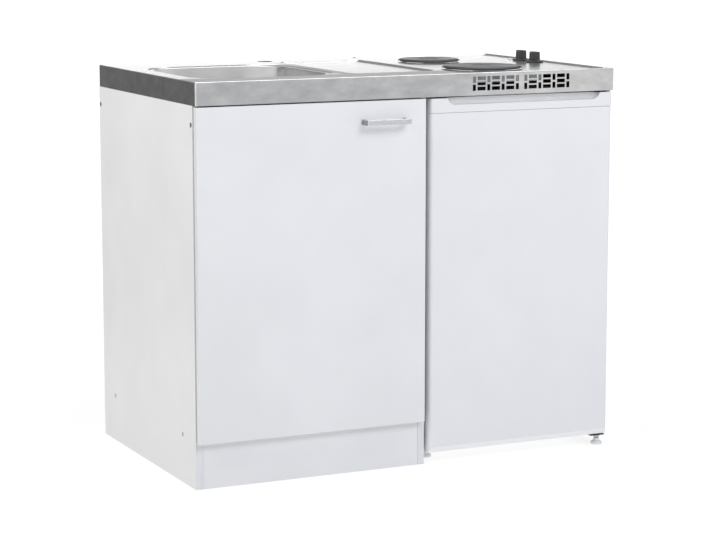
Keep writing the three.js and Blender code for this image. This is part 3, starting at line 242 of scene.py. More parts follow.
EVEN = (1.0, 1.0, 1.0)
METAL = {"Metallic": 1.0}


def start_material(name, shader):
    """The material, its tree, the inputs of its one shader, and the place on the object."""
    made = bpy.data.materials.new(name)
    made.use_nodes = True
    tree = made.node_tree
    tree.nodes.clear()
    surface = add_node(tree, "BsdfPrincipled", shader)
    add_node(tree, "OutputMaterial", {"Surface": surface})
    place = add_node(tree, "TexCoord").outputs["Object"]
    return made, tree, surface.inputs, place


def grain(tree, place, spacing, stretch=EVEN, detail=2.0):
    """Noise with features about `spacing` mm across, drawn out along the axes by `stretch`."""
    scale = [1.0 / MM / spacing / s for s in stretch]
    scaled = add_node(tree, "Mapping", {"Vector": place, "Scale": scale})
    noise = {"Vector": scaled, "Scale": 1.0, "Detail": detail, "Roughness": 0.55}
    return add_node(tree, "TexNoise", noise)


def varied(name, shader, pattern, shades, rough=None, relief=None, fine=None):
    """A material with one grain in its colour and, where they are given, in its roughness, between
    two values, and in its height, in mm at some strength. The height may have a finer grain."""
    made, tree, inputs, place = start_material(name, shader)
    cloud = grain(tree, place, *pattern)
    add_node(tree, "ValToRGB", {0: cloud}, inputs["Base Color"], shades)
    if rough:
        ends = {"Value": cloud, "To Min": rough[0], "To Max": rough[1]}
        add_node(tree, "MapRange", ends, inputs["Roughness"])
    if relief:
        height = grain(tree, place, *fine) if fine else cloud
        bump = {"Height": height, "Distance": relief[0] * MM, "Strength": relief[1]}
        add_node(tree, "Bump", bump, inputs["Normal"])
    return made


def area(tree, axes, *fades):
    """1 inside an area with soft edges. A fade grows along its axis, in mm, from 0 at its first
    place to 1 at its second."""
    share = 1.0
    for axis, start, stop in fades:
        ends = {"Value": axes[axis], "From Min": start, "From Max": stop}
        fade = add_node(tree, "MapRange", ends, interpolation_type="SMOOTHSTEP")
        share = add_node(tree, "Math", {0: fade, 1: share}, operation="MULTIPLY")
    return share


def stainless_sheet():
    """Linen-rolled stainless sheet: mottled clouds on the outer skin, drawn calmer in the pressing.
    In front of bowl and drainer and between them, less so towards the hob, it is made rougher and
    painted darker: painted shade that stands in for a dark reflection."""
    made, tree, inputs, place = start_material("stainless_linen_sheet", METAL)
    cloud = grain(tree, place, 38.0, (1.6, 1.0, 0.8), 2.5)
    linen = grain(tree, place, 1.1, (5.0, 1.0, 1.0))
    # the place in mm, as in the rest of this script
    to_mm = {0: place, 1: (1.0 / MM,) * 3, 2: -ORIGIN}
    spot = add_node(tree, "VectorMath", to_mm, operation="MULTIPLY_ADD")
    axes = add_node(tree, "SeparateXYZ", {0: spot}).outputs
    # how far it lies beyond the outline of the top: less than 0 inside the folds
    half = (LENGTH / 2, DEPTH / 2, 0.0)
    beyond = spot
    for operation in ("SUBTRACT", "ABSOLUTE", "SUBTRACT"):
        beyond = add_node(tree, "VectorMath", {0: beyond, 1: half}, operation=operation)
    sides = add_node(tree, "SeparateXYZ", {0: beyond}).outputs
    outline = add_node(tree, "Math", {0: sides["X"], 1: sides["Y"]}, operation="MAXIMUM")
    outer = area(tree, {"outline": outline}, ("outline", -4.0, -1.5))
    inner = area(tree, {"outline": outline}, ("outline", -1.5, -4.0))

    # painted shade: this area, in front of bowl and drainer and between them and fading towards the
    # hob, is painted darker to stand in for a dark reflection; it is also made rougher
    front = area(tree, axes, ("Y", 110.0, 70.0), ("X", 800.0, 580.0))
    between = area(tree, axes, ("X", 364.0, 382.0), ("X", 412.0, 398.0), ("Y", 525.0, 235.0))
    rough_and_painted_shade = add_node(tree, "Math", {0: front, 1: between}, operation="MAXIMUM")
    for limit in (inner, area(tree, axes, ("Z", 856.5, 857.8))):
        rough_and_painted_shade = add_node(tree, "Math", {0: rough_and_painted_shade, 1: limit}, operation="MULTIPLY")

    clouds = add_node(tree, "ValToRGB", {0: cloud}, shades=("#BDBDBE", "#DADADA"))
    weave = add_node(tree, "ValToRGB", {0: linen}, shades=("#BCBCBC", "#DCDCDC"))
    calm = add_node(tree, "ValToRGB", {0: cloud}, shades=("#CACACB", "#D2D2D2"))
    # painted shade: the darker tone laid where the area above paints a dark reflection
    painted_shade_tone = add_node(tree, "ValToRGB", {0: cloud}, shades=("#A6A6A7", "#B0B0B0"))
    tone = add_node(tree, "Mix", {"Factor": 0.25, "A": clouds, "B": weave}, data_type="RGBA")
    tone = add_node(tree, "Mix", {"Factor": outer, "A": calm, "B": tone}, data_type="RGBA")
    tone = {"Factor": rough_and_painted_shade, "A": tone, "B": painted_shade_tone}
    add_node(tree, "Mix", tone, inputs["Base Color"], data_type="RGBA")

    sheen = add_node(tree, "Math", {0: cloud, 1: outer}, operation="MULTIPLY")
    sheen = add_node(tree, "MapRange", {"Value": sheen, "To Min": 0.26, "To Max": 0.16})
    rough = {0: rough_and_painted_shade, 1: 0.3, 2: sheen}
    add_node(tree, "Math", rough, inputs["Roughness"], operation="MULTIPLY_ADD")
    bump = {"Height": linen, "Distance": 0.03 * MM, "Strength": 0.2}
    add_node(tree, "Bump", bump, inputs["Normal"])
    return made


def cast_iron(name, shades, rough):
    """Cast iron with heat-proof oil burnt in: dry and slightly speckled."""
    made, tree, inputs, place = start_material(name, {"Metallic": 0.1})
    speck = grain(tree, place, 1.8, detail=4.0)
    tone = {"Factor": 0.4}
    tone["A"] = add_node(tree, "ValToRGB", {0: speck}, shades=shades)
    tone["B"] = add_node(tree, "ValToRGB", {0: grain(tree, place, 45.0)}, shades=shades)
    add_node(tree, "Mix", tone, inputs["Base Color"], data_type="RGBA")
    ends = {"Value": speck, "To Min": rough[0], "To Max": rough[1]}
    add_node(tree, "MapRange", ends, inputs["Roughness"])
    bump = {"Height": speck, "Distance": 0.06 * MM, "Strength": 0.4}
    add_node(tree, "Bump", bump, inputs["Normal"])
    return made


def moulded_plastic(name, shades, rough, spacing=1.6):
    """Injection-moulded plastic with a fine spark-eroded grain: an even, slightly broken sheen."""
    return varied(name, {"IOR": 1.53}, (spacing,), shades, rough, (0.04, 0.25))


def anodised_aluminium(name, shades, rough):
    """Cast aluminium, satin anodised: fine lines along the bar where it is ground."""
    return varied(name, METAL, (0.8, (14.0, 1.0, 1.0)), shades, rough, (0.02, 0.3))


def clear_sheet(name, shades, roughness, cover):
    """Clear sheet with a faint tint and haze, which lets most of what is behind it show."""
    made, tree, inputs, place = start_material(name, {"IOR": 1.5, "Roughness": roughness})
    haze = grain(tree, place, 70.0, detail=1.0)
    add_node(tree, "ValToRGB", {0: haze}, inputs["Base Color"], shades)
    ends = {"Value": haze, "To Min": cover - 0.01, "To Max": cover + 0.01}
    add_node(tree, "MapRange", ends, inputs["Alpha"])
    return made


# Chipboard faced with melamine paper, pressed against a fine pearl plate: a quiet silk sheen.
# The plate's pearl is 0.4 mm; drawn at 2.5 mm so that it shows.
board = varied(
    "white_melamine_board",
    {"IOR": 1.5, "Specular IOR Level": 0.4},
    (160.0,),
    ("#EAEBED", "#EEEFF1"),
    rough=(0.42, 0.5),
    relief=(0.03, 0.25),
    fine=(2.5,),
)
# ABS edging, extruded and trimmed flush: a hair greyer than the faces and a little glossier.
edging = varied(
    "white_abs_edging",
    {"IOR": 1.53, "Roughness": 0.35},
    (3.0, (1.0, 1.0, 12.0)),
    ("#E2E3E6", "#E9EAED"),
    relief=(0.02, 0.3),
)
# Sheet steel, powder coated: even white gloss with a trace of orange peel.
enamel = varied(
    "white_coated_sheet_steel",
    {"IOR": 1.5, "Coat Weight": 0.25, "Coat Roughness": 0.12},
    (140.0,),
    ("#EAEBEE", "#EDEEF1"),
    rough=(0.3, 0.36),
    relief=(0.05, 0.2),
    fine=(5.0, EVEN, 1.0),
)
stainless = stainless_sheet()
# Drawn stainless, polished after forming: a clearer mirror with fine turning marks.
polished = varied(
    "polished_stainless_steel", METAL, (0.9,), ("#CFCFD0", "#E2E2E2"), rough=(0.16, 0.26)
)
# painted light and shade: the lighter copy goes on the plates' upward faces and the darker one on
# their sides and underside
iron_top_painted_light = cast_iron("turned_cast_iron_painted_light", ("#4E4F51", "#646567"), (0.3, 0.42))
iron = cast_iron("blackened_cast_iron_painted_shade", ("#232426", "#363739"), (0.44, 0.56))
handle_metal = anodised_aluminium("satin_anodised_aluminium", ("#D0D1D5", "#E7E8EB"), (0.24, 0.36))
# painted shade: a darker copy of the handle's aluminium for its faces turned to the left
handle_painted_shade = anodised_aluminium("aluminium_painted_shade", ("#94969B", "#A9ABB0"), (0.44, 0.56))
# Zinc-plated pressed steel: bluish grey with faint passivation clouds.
zinc = varied(
    "zinc_plated_steel", METAL, (9.0, EVEN, 3.0), ("#9FA3A8", "#C4C7CA"), rough=(0.3, 0.45)
)
# Planed pine battens, painted darker than raw pine as painted shade for the dim inside seen through
# the vents: dull brown with year lines along the batten.
pine = varied(
    "planed_pine_painted_shade",
    {"IOR": 1.5, "Roughness": 0.7},
    (6.0, (14.0, 14.0, 1.0), 3.0),
    ("#5E4C37", "#8A7254"),
    relief=(0.1, 0.3),
)
# Roll-bonded aluminium sheet of the freezer box: soft satin, drawn along its length.
freezer_sheet = varied(
    "roll_bonded_aluminium",
    METAL,
    (1.2, (10.0, 1.0, 1.0)),
    ("#C6C8CA", "#DCDDDF"),
    rough=(0.34, 0.46),
)
shelf_glass = clear_sheet("toughened_shelf_glass", ("#C3D9D1", "#C9DDD6"), 0.05, 0.32)
clear_plastic = clear_sheet("clear_styrene", ("#E1E9ED", "#E6EDF1"), 0.12, 0.36)
# Black dip paint on steel: half gloss with small runs.
dip_paint = varied(
    "black_dip_painted_steel",
    {"IOR": 1.5},
    (7.0, (1.0, 1.0, 4.0)),
    ("#131315", "#232326"),
    rough=(0.3, 0.5),
    relief=(0.08, 0.3),
)
trim_white = moulded_plastic("white_abs_trim", ("#EAEAEB", "#EDEDEE"), (0.33, 0.43), 2.5)
# painted light: a whiter copy of the moulded plastic for the shaded scoop and the down-facing foot
# of the fridge door
white_painted_light = moulded_plastic("white_abs_painted_light", ("#F8F9FB", "#FBFCFD"), (0.25, 0.35), 2.5)
liner_white = moulded_plastic("white_styrene_liner", ("#EDEFF1", "#F3F4F6"), (0.37, 0.47), 3.0)
pipe_white = moulded_plastic("white_polypropylene", ("#E8E8E6", "#F1F1EF"), (0.45, 0.55))
knob_black = moulded_plastic("black_phenolic_knob", ("#2B2C2E", "#38393B"), (0.35, 0.45))
box_black = moulded_plastic("black_nylon_housing", ("#202022", "#2C2C2E"), (0.45, 0.55))
lamp_clear = moulded_plastic("milky_lamp_lens", ("#EFEDE6", "#FBFAF6"), (0.1, 0.2))
# Extruded rubber of the door seal: dull, with a soft edge to its sheen.
seal_grey = varied(
    "grey_door_seal",
    {"IOR": 1.52, "Roughness": 0.75},
    (2.0,),
    ("#C3C6CA", "#D2D4D8"),
    relief=(0.05, 0.3),
)
foot_white = moulded_plastic("white_foot_nylon", ("#F1F1F0", "#F8F8F7"), (0.45, 0.55))

FINISHES = {
    "zinc_steel": zinc,
    "pine_batten": pine,
    "white_plastic": pipe_white,
    "black_plastic": box_black,
    "freezer_aluminium": freezer_sheet,
    "shelf_glass": shelf_glass,
    "clear_plastic": clear_plastic,
    "black_paint": dip_paint,
    "foot_nylon": foot_white,
    "white_board": board,
    "white_enamel": enamel,
    "trim_plastic": trim_white,
    "stainless_small": polished,
    "stainless_sheet": stainless,
    "cast_iron": iron,
    "lamp_lens": lamp_clear,
    "gasket_rubber": seal_grey,
    "handle_aluminium": handle_metal,
}

# ---------------------------------------------------------------- modelling helpers


def only(obj):
    """Leaves just this object selected and active."""
    bpy.ops.object.select_all(action="DESELECT")
    obj.select_set(True)
    bpy.context.view_layer.objects.active = obj


def rename(name):
    """Names the active object and its mesh."""
    obj = bpy.context.object
    obj.name = name
    obj.data.name = name
    return obj


def block(name, x0, x1, y0, y1, z0, z1):
    """A box primitive at its size and place, ready to be shaped."""
    bpy.ops.object.select_all(action="DESELECT")
    low, high = at(x0, y0, z0), at(x1, y1, z1)
    bpy.ops.mesh.primitive_cube_add(size=1.0, location=(low + high) / 2)
    obj = rename(name)
    obj.scale = high - low
    bpy.ops.object.transform_apply(location=True, rotation=True, scale=True)
    return obj


def upright(name, x, y, z0, z1, radius, sides=48):
    """A cylinder primitive standing at x, y."""
    bpy.ops.object.select_all(action="DESELECT")
    bpy.ops.mesh.primitive_cylinder_add(
        vertices=sides,
        radius=radius * MM,
        depth=(z1 - z0) * MM,
        location=at(x, y, (z0 + z1) / 2),
    )
    obj = rename(name)
    bpy.ops.object.transform_apply(location=True, rotation=True, scale=True)
    return obj


def in_edit(obj, select_by, keep):
    """Edit mode with the vertices, edges or faces selected for which keep(item) holds."""
    only(obj)
    bpy.ops.object.mode_set(mode="EDIT")
    bpy.ops.mesh.select_mode(type=select_by)
    bpy.ops.mesh.select_all(action="DESELECT")
    shape = bmesh.from_edit_mesh(obj.data)
    for item in {"VERT": shape.verts, "EDGE": shape.edges, "FACE": shape.faces}[select_by]:
        item.select_set(bool(keep(item)))
    shape.select_flush_mode()
    bmesh.update_edit_mesh(obj.data)


def leave_edit():
    bpy.ops.object.mode_set(mode="OBJECT")


def middle(item):
    """Centre of an edge or face, in mm."""
    points = [v.co for v in item.verts]
    return sum(points, Vector()) / len(points) / MM - ORIGIN


def along(edge, axis):
    """An edge that runs along the axis of this number."""
    step = (edge.verts[1].co - edge.verts[0].co).normalized()
    return abs(step[axis]) > 0.99


def level(edge):
    """An edge with both ends at one height."""
    return abs(edge.verts[0].co.z - edge.verts[1].co.z) < 0.01 * MM


def inside(point, limits, margin=1.0):
    """A place between the left, right, front and back limits, or less than the margin outside."""
    x0, x1, y0, y1 = limits
    return x0 - margin < point.x < x1 + margin and y0 - margin < point.y < y1 + margin


def round_edges(obj, keep, radius, segments=4):
    """Rounds the edges for which keep(edge) holds."""
    in_edit(obj, "EDGE", keep)
    bpy.ops.mesh.bevel(
        offset=radius * MM, segments=segments, profile=0.5, affect="EDGES", clamp_overlap=True
    )
    leave_edit()


def tapered(obj, factors, centre, on_top=True):
    """Scales the top face, or the bottom face, about its centre by factors for X and Y."""
    side = 1 if on_top else -1
    in_edit(obj, "FACE", lambda f: f.normal.z * side > 0.9)
    bpy.ops.transform.resize(value=(*factors, 1.0), center_override=at(*centre))
    leave_edit()


def apply_modifiers(obj):
    only(obj)
    for modifier in list(obj.modifiers):
        bpy.ops.object.modifier_apply(modifier=modifier.name)


def cut(obj, *tools, operation="DIFFERENCE"):
    """Boolean with each tool in turn; the tools are used up."""
    for tool in tools:
        change = obj.modifiers.new("cut", "BOOLEAN")
        change.operation = operation
        change.solver = "EXACT"
        change.object = tool
        apply_modifiers(obj)
        bpy.data.objects.remove(tool)


def joined(name, parts):
    """The parts as one object."""
    bpy.ops.object.select_all(action="DESELECT")
    for part in parts:
        part.select_set(True)
    bpy.context.view_layer.objects.active = parts[0]
    bpy.ops.object.join()
    return rename(name)


def repeated(obj, shifts):
    """Copies with meshes of their own, one moved by each shift in mm; the pattern is used up."""
    copies = []
    for shift in shifts:
        only(obj)
        bpy.ops.object.duplicate()
        copies.append(rename(obj.name + "_copy"))
        bpy.ops.transform.translate(value=Vector(shift) * MM)
        bpy.ops.object.transform_apply(location=True, rotation=True, scale=True)
    bpy.data.objects.remove(obj)
    return copies


def turned(name, profile, x, y, z, sides=64):
    """A profile of (radius, height) points, drawn from one vertex and spun upright at x, y, z."""
    bpy.ops.object.select_all(action="DESELECT")
    bpy.ops.mesh.primitive_plane_add(size=1.0 * MM)
    obj = rename(name)
    bpy.ops.object.mode_set(mode="EDIT")
    bpy.ops.mesh.select_mode(type="VERT")
    bpy.ops.mesh.select_all(action="SELECT")
    bpy.ops.mesh.merge(type="CENTER")
    bpy.ops.mesh.select_all(action="SELECT")
    shape = bmesh.from_edit_mesh(obj.data)
    shape.verts.ensure_lookup_table()
    shape.verts[0].co = at(x + profile[0][0], y, z + profile[0][1])
    bmesh.update_edit_mesh(obj.data)
    for (r0, h0), (r1, h1) in zip(profile, profile[1:]):
        bpy.ops.mesh.extrude_region_move(
            TRANSFORM_OT_translate={"value": ((r1 - r0) * MM, 0.0, (h1 - h0) * MM)}
        )
    bpy.ops.mesh.select_all(action="SELECT")
    bpy.ops.mesh.spin(
        steps=sides, angle=2 * math.pi, center=at(x, y, z), axis=(0.0, 0.0, 1.0), dupli=False
    )
    bpy.ops.mesh.select_all(action="SELECT")
    bpy.ops.mesh.remove_doubles(threshold=0.000005)
    bpy.ops.mesh.normals_make_consistent(inside=False)
    leave_edit()
    return obj


def finish(obj, slot, body, *replaced, material=None, angle=35.0, weighted=True):
    """Shades the piece, gives it its slot's finish or its own, and lets it ride on its body."""
    only(obj)
    bpy.ops.object.shade_smooth_by_angle(angle=math.radians(angle))
    if weighted:
        normals = obj.modifiers.new("even_shading", "WEIGHTED_NORMAL")
        normals.keep_sharp = True
        normals.weight = 80
        apply_modifiers(obj)
    obj.data.materials.append(material or FINISHES[slot])
    if replaced:
        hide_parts(*replaced)
    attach(obj, body)
    return obj


def faced(obj, second, takes_second):
    """Gives the faces for which takes_second(face) holds a second finish."""
    obj.data.materials.append(second)
    for face in obj.data.polygons:
        face.material_index = int(takes_second(face))


def softened(node, slot, body, radius, segments=2, material=None):
    """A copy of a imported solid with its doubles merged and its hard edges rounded."""
    sharp = 30.0
    bpy.ops.object.select_all(action="DESELECT")
    obj = frame["nodes"][node].copy()
    obj.data = obj.data.copy()
    obj.name = obj.data.name = node + "_real"
    scene.collection.objects.link(obj)
    obj.parent = None
    obj.matrix_world = Matrix.Identity(4)
    obj.data.materials.clear()
    in_edit(obj, "VERT", lambda v: True)
    bpy.ops.mesh.remove_doubles(threshold=0.00001)
    bpy.ops.mesh.customdata_custom_splitnormals_clear()
    bpy.ops.mesh.dissolve_limited(angle_limit=math.radians(0.3))
    leave_edit()
    edge = obj.modifiers.new("soft_edges", "BEVEL")
    edge.limit_method = "ANGLE"
    edge.angle_limit = math.radians(sharp)
    edge.width = radius * MM
    edge.segments = segments
    edge.use_clamp_overlap = True
    apply_modifiers(obj)
    return finish(obj, slot, body, node, material=material, angle=sharp)


# ---------------------------------------------------------------- worktop

CUTTER_RISE = 12.0  # how far the cutters of the pressed forms stand above the rim
BLOCK_FOOT = 700.0  # underside of the block that the sheet is made from


def pocket_tool(limits, floor, slope, corner):
    """Cutter for a pressed field: a tray shape whose sides lean out by slope per mm of height."""
    x0, x1, y0, y1 = limits
    top = RIM + CUTTER_RISE
    inset = slope * (RIM - floor)
    lean = slope * (CUTTER_RISE + (RIM - floor))
    tool = block("pocket_tool", x0 + inset, x1 - inset, y0 + inset, y1 - inset, floor, top)
    factors = [(size - 2 * inset + 2 * lean) / (size - 2 * inset) for size in (x1 - x0, y1 - y0)]
    tapered(tool, factors, ((x0 + x1) / 2, (y0 + y1) / 2, top))
    round_edges(tool, lambda e: abs(middle(e).z - (floor + top) / 2) < 1.0, corner, 10)
    return tool


def bowl_tool():
    """Cutter for the bowl: drafted walls, large corner radii and a wide fillet at the floor."""
    x0, x1, y0, y1 = BOWL
    draft, corner, fillet = 15.0, 74.0, 36.0
    tool = block("bowl_tool", x0, x1, y0, y1, BOWL_FLOOR, RIM)
    factors = [(size - 2 * draft) / size for size in (x1 - x0, y1 - y0)]
    tapered(tool, factors, ((x0 + x1) / 2, (y0 + y1) / 2, BOWL_FLOOR), on_top=False)
    round_edges(tool, lambda e: abs(middle(e).z - (RIM + BOWL_FLOOR) / 2) < 1.0, corner, 18)
    round_edges(tool, lambda e: abs(middle(e).z - BOWL_FLOOR) < 0.1, fillet, 9)
    in_edit(tool, "FACE", lambda f: f.normal.z > 0.9)
    bpy.ops.mesh.extrude_region_move(TRANSFORM_OT_translate={"value": (0, 0, CUTTER_RISE * MM)})
    leave_edit()
    return tool


def vent_slots():
    """Two fields of slots in the apron: upright pairs with level threes between them."""
    front, back, top = -4.0, 6.0, 852.0
    pair = block("slot_upright", 643.0, 650.5, front, back, 838.5, top)
    three = block("slot_level", 654.5, 674.5, front, back, 844.0, top)
    for slot in (pair, three):
        round_edges(slot, lambda e: along(e, 1), 0.5, 2)
    field_pitch, column_pitch, pair_pitch, three_pitch = 127.5, 35.5, 17.5, 11.25
    fields = [[field_pitch * f + column_pitch * c for c in range(4)] for f in range(2)]
    pairs = [(x, 0.0, -pair_pitch * row) for field in fields for x in field for row in range(2)]
    threes = [
        (x, 0.0, -three_pitch * row) for field in fields for x in field[:3] for row in range(3)
    ]
    return joined("slots", repeated(pair, pairs) + repeated(three, threes))


def fold_at(edge, height):
    """An edge at this height where a level face meets a slope."""
    flat = all(abs(v.co.z / MM - height) < 0.02 for v in edge.verts)
    tilts = [f.normal.z for f in edge.link_faces]
    return flat and min(tilts) < 0.995 < max(tilts)


def model_worktop():
    """One deep-drawn sheet: block, pressed forms cut out, then opened below and given a wall."""
    sheet = block("worktop_pressed_sheet", 0.0, LENGTH, 0.0, DEPTH, BLOCK_FOOT, RIM)
    round_edges(sheet, lambda e: along(e, 2), 3.8, 5)
    cut(sheet, *[pocket_tool(*field[:4]) for field in PRESSED], bowl_tool())
    border_level = PRESSED[0][1]
    lip = lambda e: fold_at(e, border_level) and inside(middle(e), BOWL)
    round_edges(sheet, lip, 12.0, 8)
    for limits, floor, _, _, radius in PRESSED:
        for height in (RIM, floor):
            step = lambda e: (
                fold_at(e, height) and inside(middle(e), limits) and not inside(middle(e), BOWL)
            )
            round_edges(sheet, step, radius, 3)
    top = (4.0, LENGTH - 4.0, 4.0, DEPTH - 4.0)
    round_edges(sheet, lambda e: fold_at(e, RIM) and not inside(middle(e), top), 3.6, 6)

    # holes are sunk into the block as blind pockets, whose walls and floors go with its underside
    shallow, deep, sunk = 845.0, 705.0, 30.0
    waste, lens, spindle, ledge = 33.0, 4.9, 5.0, 7.0
    holes = [(*TAP_HOLE, shallow), (*DRAIN, waste, deep), (*LAMP, lens, shallow)]
    holes += [(x, y, radius - ledge, shallow) for x, y, radius in PLATES.values()]
    holes += [(*knob, spindle, shallow) for knob in KNOBS.values()]
    for x, y, radius, low in holes:
        sides = 96 if radius > 10 else 24
        cut(sheet, upright("hole", x, y, low, low + sunk, radius, sides))
    cut(sheet, vent_slots())

    def opened(face):
        points = [v.co / MM - ORIGIN for v in face.verts]
        in_slot = all(-0.1 < p.y < 12.0 and 812.0 < p.z < 855.0 for p in points)
        in_hole = any(
            all(math.hypot(p.x - x, p.y - y) < radius + 0.1 for p in points)
            for x, y, radius, _ in holes
        )
        below = all(p.z < BLOCK_FOOT + 4.0 for p in points)
        return in_hole or below or (in_slot and middle(face).y > 0.3)

    in_edit(sheet, "FACE", opened)
    bpy.ops.mesh.delete(type="FACE")
    leave_edit()
    # the outer walls end at the foot of the apron
    core = (5.0, LENGTH - 5.0, 5.0, DEPTH - 5.0)
    in_edit(sheet, "FACE", lambda f: abs(f.normal.z) < 0.1 and not inside(middle(f), core))
    bpy.ops.mesh.bisect(
        plane_co=at(0.0, 0.0, APRON_FOOT), plane_no=(0.0, 0.0, 1.0), clear_inner=True
    )
    leave_edit()
    wall = sheet.modifiers.new("sheet_thickness", "SOLIDIFY")
    wall.thickness = SHEET * MM
    wall.offset = -1.0
    apply_modifiers(sheet)
    finish(sheet, "stainless_sheet", ROOT, "worktop_sheet", angle=28.0)


# ---------------------------------------------------------------- hob and waste


def model_plate(end):
    """Cast plate with turned rings on top, a chamfered edge and a shallow recess in the middle."""
    x, y, radius = PLATES[end]
    top, foot = 7.5, -10.0
    profile = [(0.0, foot), (radius - 8.0, foot), (radius - 8.0, 3.5), (radius - 0.5, 3.5)]
    profile += [(radius, 4.0), (radius - 0.4, 4.6), (radius - 5.6, top - 0.1), (radius - 6.4, top)]
    ring, pitch = radius - 8.0, 3.2
    while ring > 25.0:
        profile += [(ring, top), (ring - 0.5, top - 0.18), (ring - 1.0, top)]
        ring -= pitch
    profile += [(22.6, top), (21.6, top - 0.3), (20.4, top - 1.0), (4.5, top - 1.0)]
    profile += [(4.0, top - 1.3), (0.0, top - 1.3)]
    plate = turned(f"hot_plate_{end}_casting", profile, x, y, HOB_FIELD, 96)
    finish(plate, "cast_iron", ROOT, f"hot_plate_{end}", angle=20.0, weighted=False)
    # the turned top is a lighter grey, partly as turned iron and partly as painted light on the
    # faces that look up; the sides keep the darker blackened iron, partly painted shade
    faced(plate, iron_top_painted_light, lambda f: f.normal.z > 0.9)
    inner = radius - 6.0
    lip = [(inner, 0.3), (inner + 3.6, 0.3), (inner + 4.0, 0.7), (inner + 3.2, 2.6)]
    lip += [(inner + 2.2, 3.2), (inner + 0.6, 3.2), (inner, 2.8), (inner, 0.3)]
    collar = turned(f"plate_collar_{end}_drawn", lip, x, y, HOB_FIELD, 96)
    finish(collar, "stainless_small", ROOT, f"plate_collar_{end}")


def model_knob(end):
    """Rotary knob: flat round skirt with a pointer line, and a ribbed grip across it."""
    body = f"knob_{end}"
    x, y = KNOBS[end]
    base = HOB_FIELD + 0.75
    grip_top, rib_top = base + 24.0, base + 21.0
    skirt = [(0.0, 0.6), (18.6, 0.6), (19.0, 0.0), (20.2, 0.0), (20.5, 0.4), (20.5, 2.3)]
    skirt += [(20.0, 3.1), (19.0, 3.5), (13.5, 3.7), (0.0, 3.9)]
    knob = turned(body + "_moulded", skirt, x, y, base, 64)
    grip = block("grip", x - 7.5, x + 7.5, y - 13.0, y + 13.0, base + 2.0, grip_top)
    tapered(grip, (0.94, 0.97), (x, y, grip_top))
    round_edges(grip, lambda e: middle(e).z > base + 3.0 and not along(e, 0), 1.4, 3)
    rib = block("rib", x - 8.1, x + 8.1, y - 0.8, y + 0.8, base + 3.2, rib_top)
    tapered(rib, (0.945, 1.0), (x, y, rib_top))
    round_edges(rib, lambda e: True, 0.5, 2)
    pitch = 3.6
    ribs = repeated(rib, [(0.0, pitch * step, 0.0) for step in (-3, -2, -1, 1, 2, 3)])
    cut(knob, grip, *ribs, operation="UNION")
    cut(knob, upright("bore", x, y, base - 2.0, base + 14.3, 3.25, 24))
    finish(knob, "black_plastic", body, body, material=knob_black, angle=30.0)
    mark = block(body + "_pointer", x - 0.6, x + 0.6, y - 19.0, y - 14.4, base + 3.3, base + 4.0)
    round_edges(mark, lambda e: middle(e).z > base + 3.8, 0.2, 2)
    finish(mark, "white_plastic", body)


def model_lamp():
    """Milky domed lens in a thin flange."""
    dome = [(0.0, -16.0), (4.5, -16.0), (4.5, 0.3), (5.7, 0.3), (6.0, 0.6), (6.0, 1.0)]
    dome += [(4.8, 1.3), (4.5, 1.8), (3.9, 2.5), (2.9, 3.0), (1.5, 3.3), (0.0, 3.4)]
    lens = turned("pilot_lamp_lens", dome, *LAMP, HOB_FIELD, 32)
    finish(lens, "lamp_lens", ROOT, "pilot_lamp", weighted=False)


def model_strainer():
    """Drawn strainer basket with rings of holes and a turned lifting knob, in its waste flange."""
    x, y = DRAIN
    basket = [(0.0, -13.0), (27.5, -13.0), (29.2, -12.2), (29.7, -10.5), (29.7, 3.0)]
    basket += [(34.2, 3.0), (34.7, 3.5), (34.2, 4.0), (29.5, 4.0), (28.7, 3.4), (28.7, -10.4)]
    basket += [(28.2, -11.6), (27.2, -12.0), (4.0, -12.0), (3.2, -10.0), (3.0, 6.0), (5.2, 7.4)]
    basket += [(6.5, 9.0), (6.5, 11.4), (5.4, 12.6), (0.0, 13.0)]
    strainer = turned("sink_strainer_basket", basket, x, y, BOWL_FLOOR, 64)
    first = 10.5
    drill = upright("drill", x + first, y, BOWL_FLOOR - 15.0, BOWL_FLOOR - 8.0, 2.0, 16)
    shifts = []
    for ring, count in ((first, 8), (17.0, 12), (23.5, 16)):
        turns = [2 * math.pi * i / count for i in range(count)]
        shifts += [(ring * math.cos(a) - first, ring * math.sin(a), 0.0) for a in turns]
    cut(strainer, joined("drills", repeated(drill, shifts)))
    finish(strainer, "stainless_small", "sink_strainer", "sink_strainer", weighted=False)
    ring = [(30.1, 1.7), (30.1, -20.0), (32.6, -20.0), (32.6, 0.25), (41.6, 0.25), (42.0, 0.6)]
    ring += [(41.4, 1.4), (39.6, 2.4), (37.0, 2.75), (32.8, 2.75), (31.0, 2.3), (30.1, 1.7)]
    flange = turned("waste_flange_drawn", ring, x, y, BOWL_FLOOR, 64)
    finish(flange, "stainless_small", ROOT, "waste_flange")


# ---------------------------------------------------------------- handle, trim and feet


def model_handle():
    """Bow handle: a flat bar on two legs, cast in one and ground square with eased edges."""
    x0, x1, y0, y1, z0, z1 = 377.0, 483.0, -30.0, -0.25, 758.25, 769.75
    leg, bar = 9.0, 6.0
    bow = block("sink_door_bow_handle", x0, x1, y0, y1, z0, z1)
    gap = block("gap", x0 + leg, x1 - leg, y0 + bar, y1 + 5.0, z0 - 5.0, z1 + 5.0)
    round_edges(gap, lambda e: along(e, 2) and middle(e).y < y0 + bar + 1.0, 3.0, 4)
    cut(bow, gap)
    round_edges(bow, lambda e: along(e, 2) and middle(e).y < y0 + 1.0, 3.0, 4)
    free = lambda e: level(e) and middle(e).y < y1 - 1.0
    round_edges(bow, lambda e: free(e) and middle(e).z > (z0 + z1) / 2, 2.0, 4)
    round_edges(bow, lambda e: free(e) and middle(e).z < z0 + 0.1, 0.6, 2)
    finish(bow, "handle_aluminium", "sink_door", "sink_door_handle")
    # the faces turned to the left get a darker, duller copy of the aluminium: painted shade
    faced(bow, handle_painted_shade, lambda f: f.normal.x < -0.8)


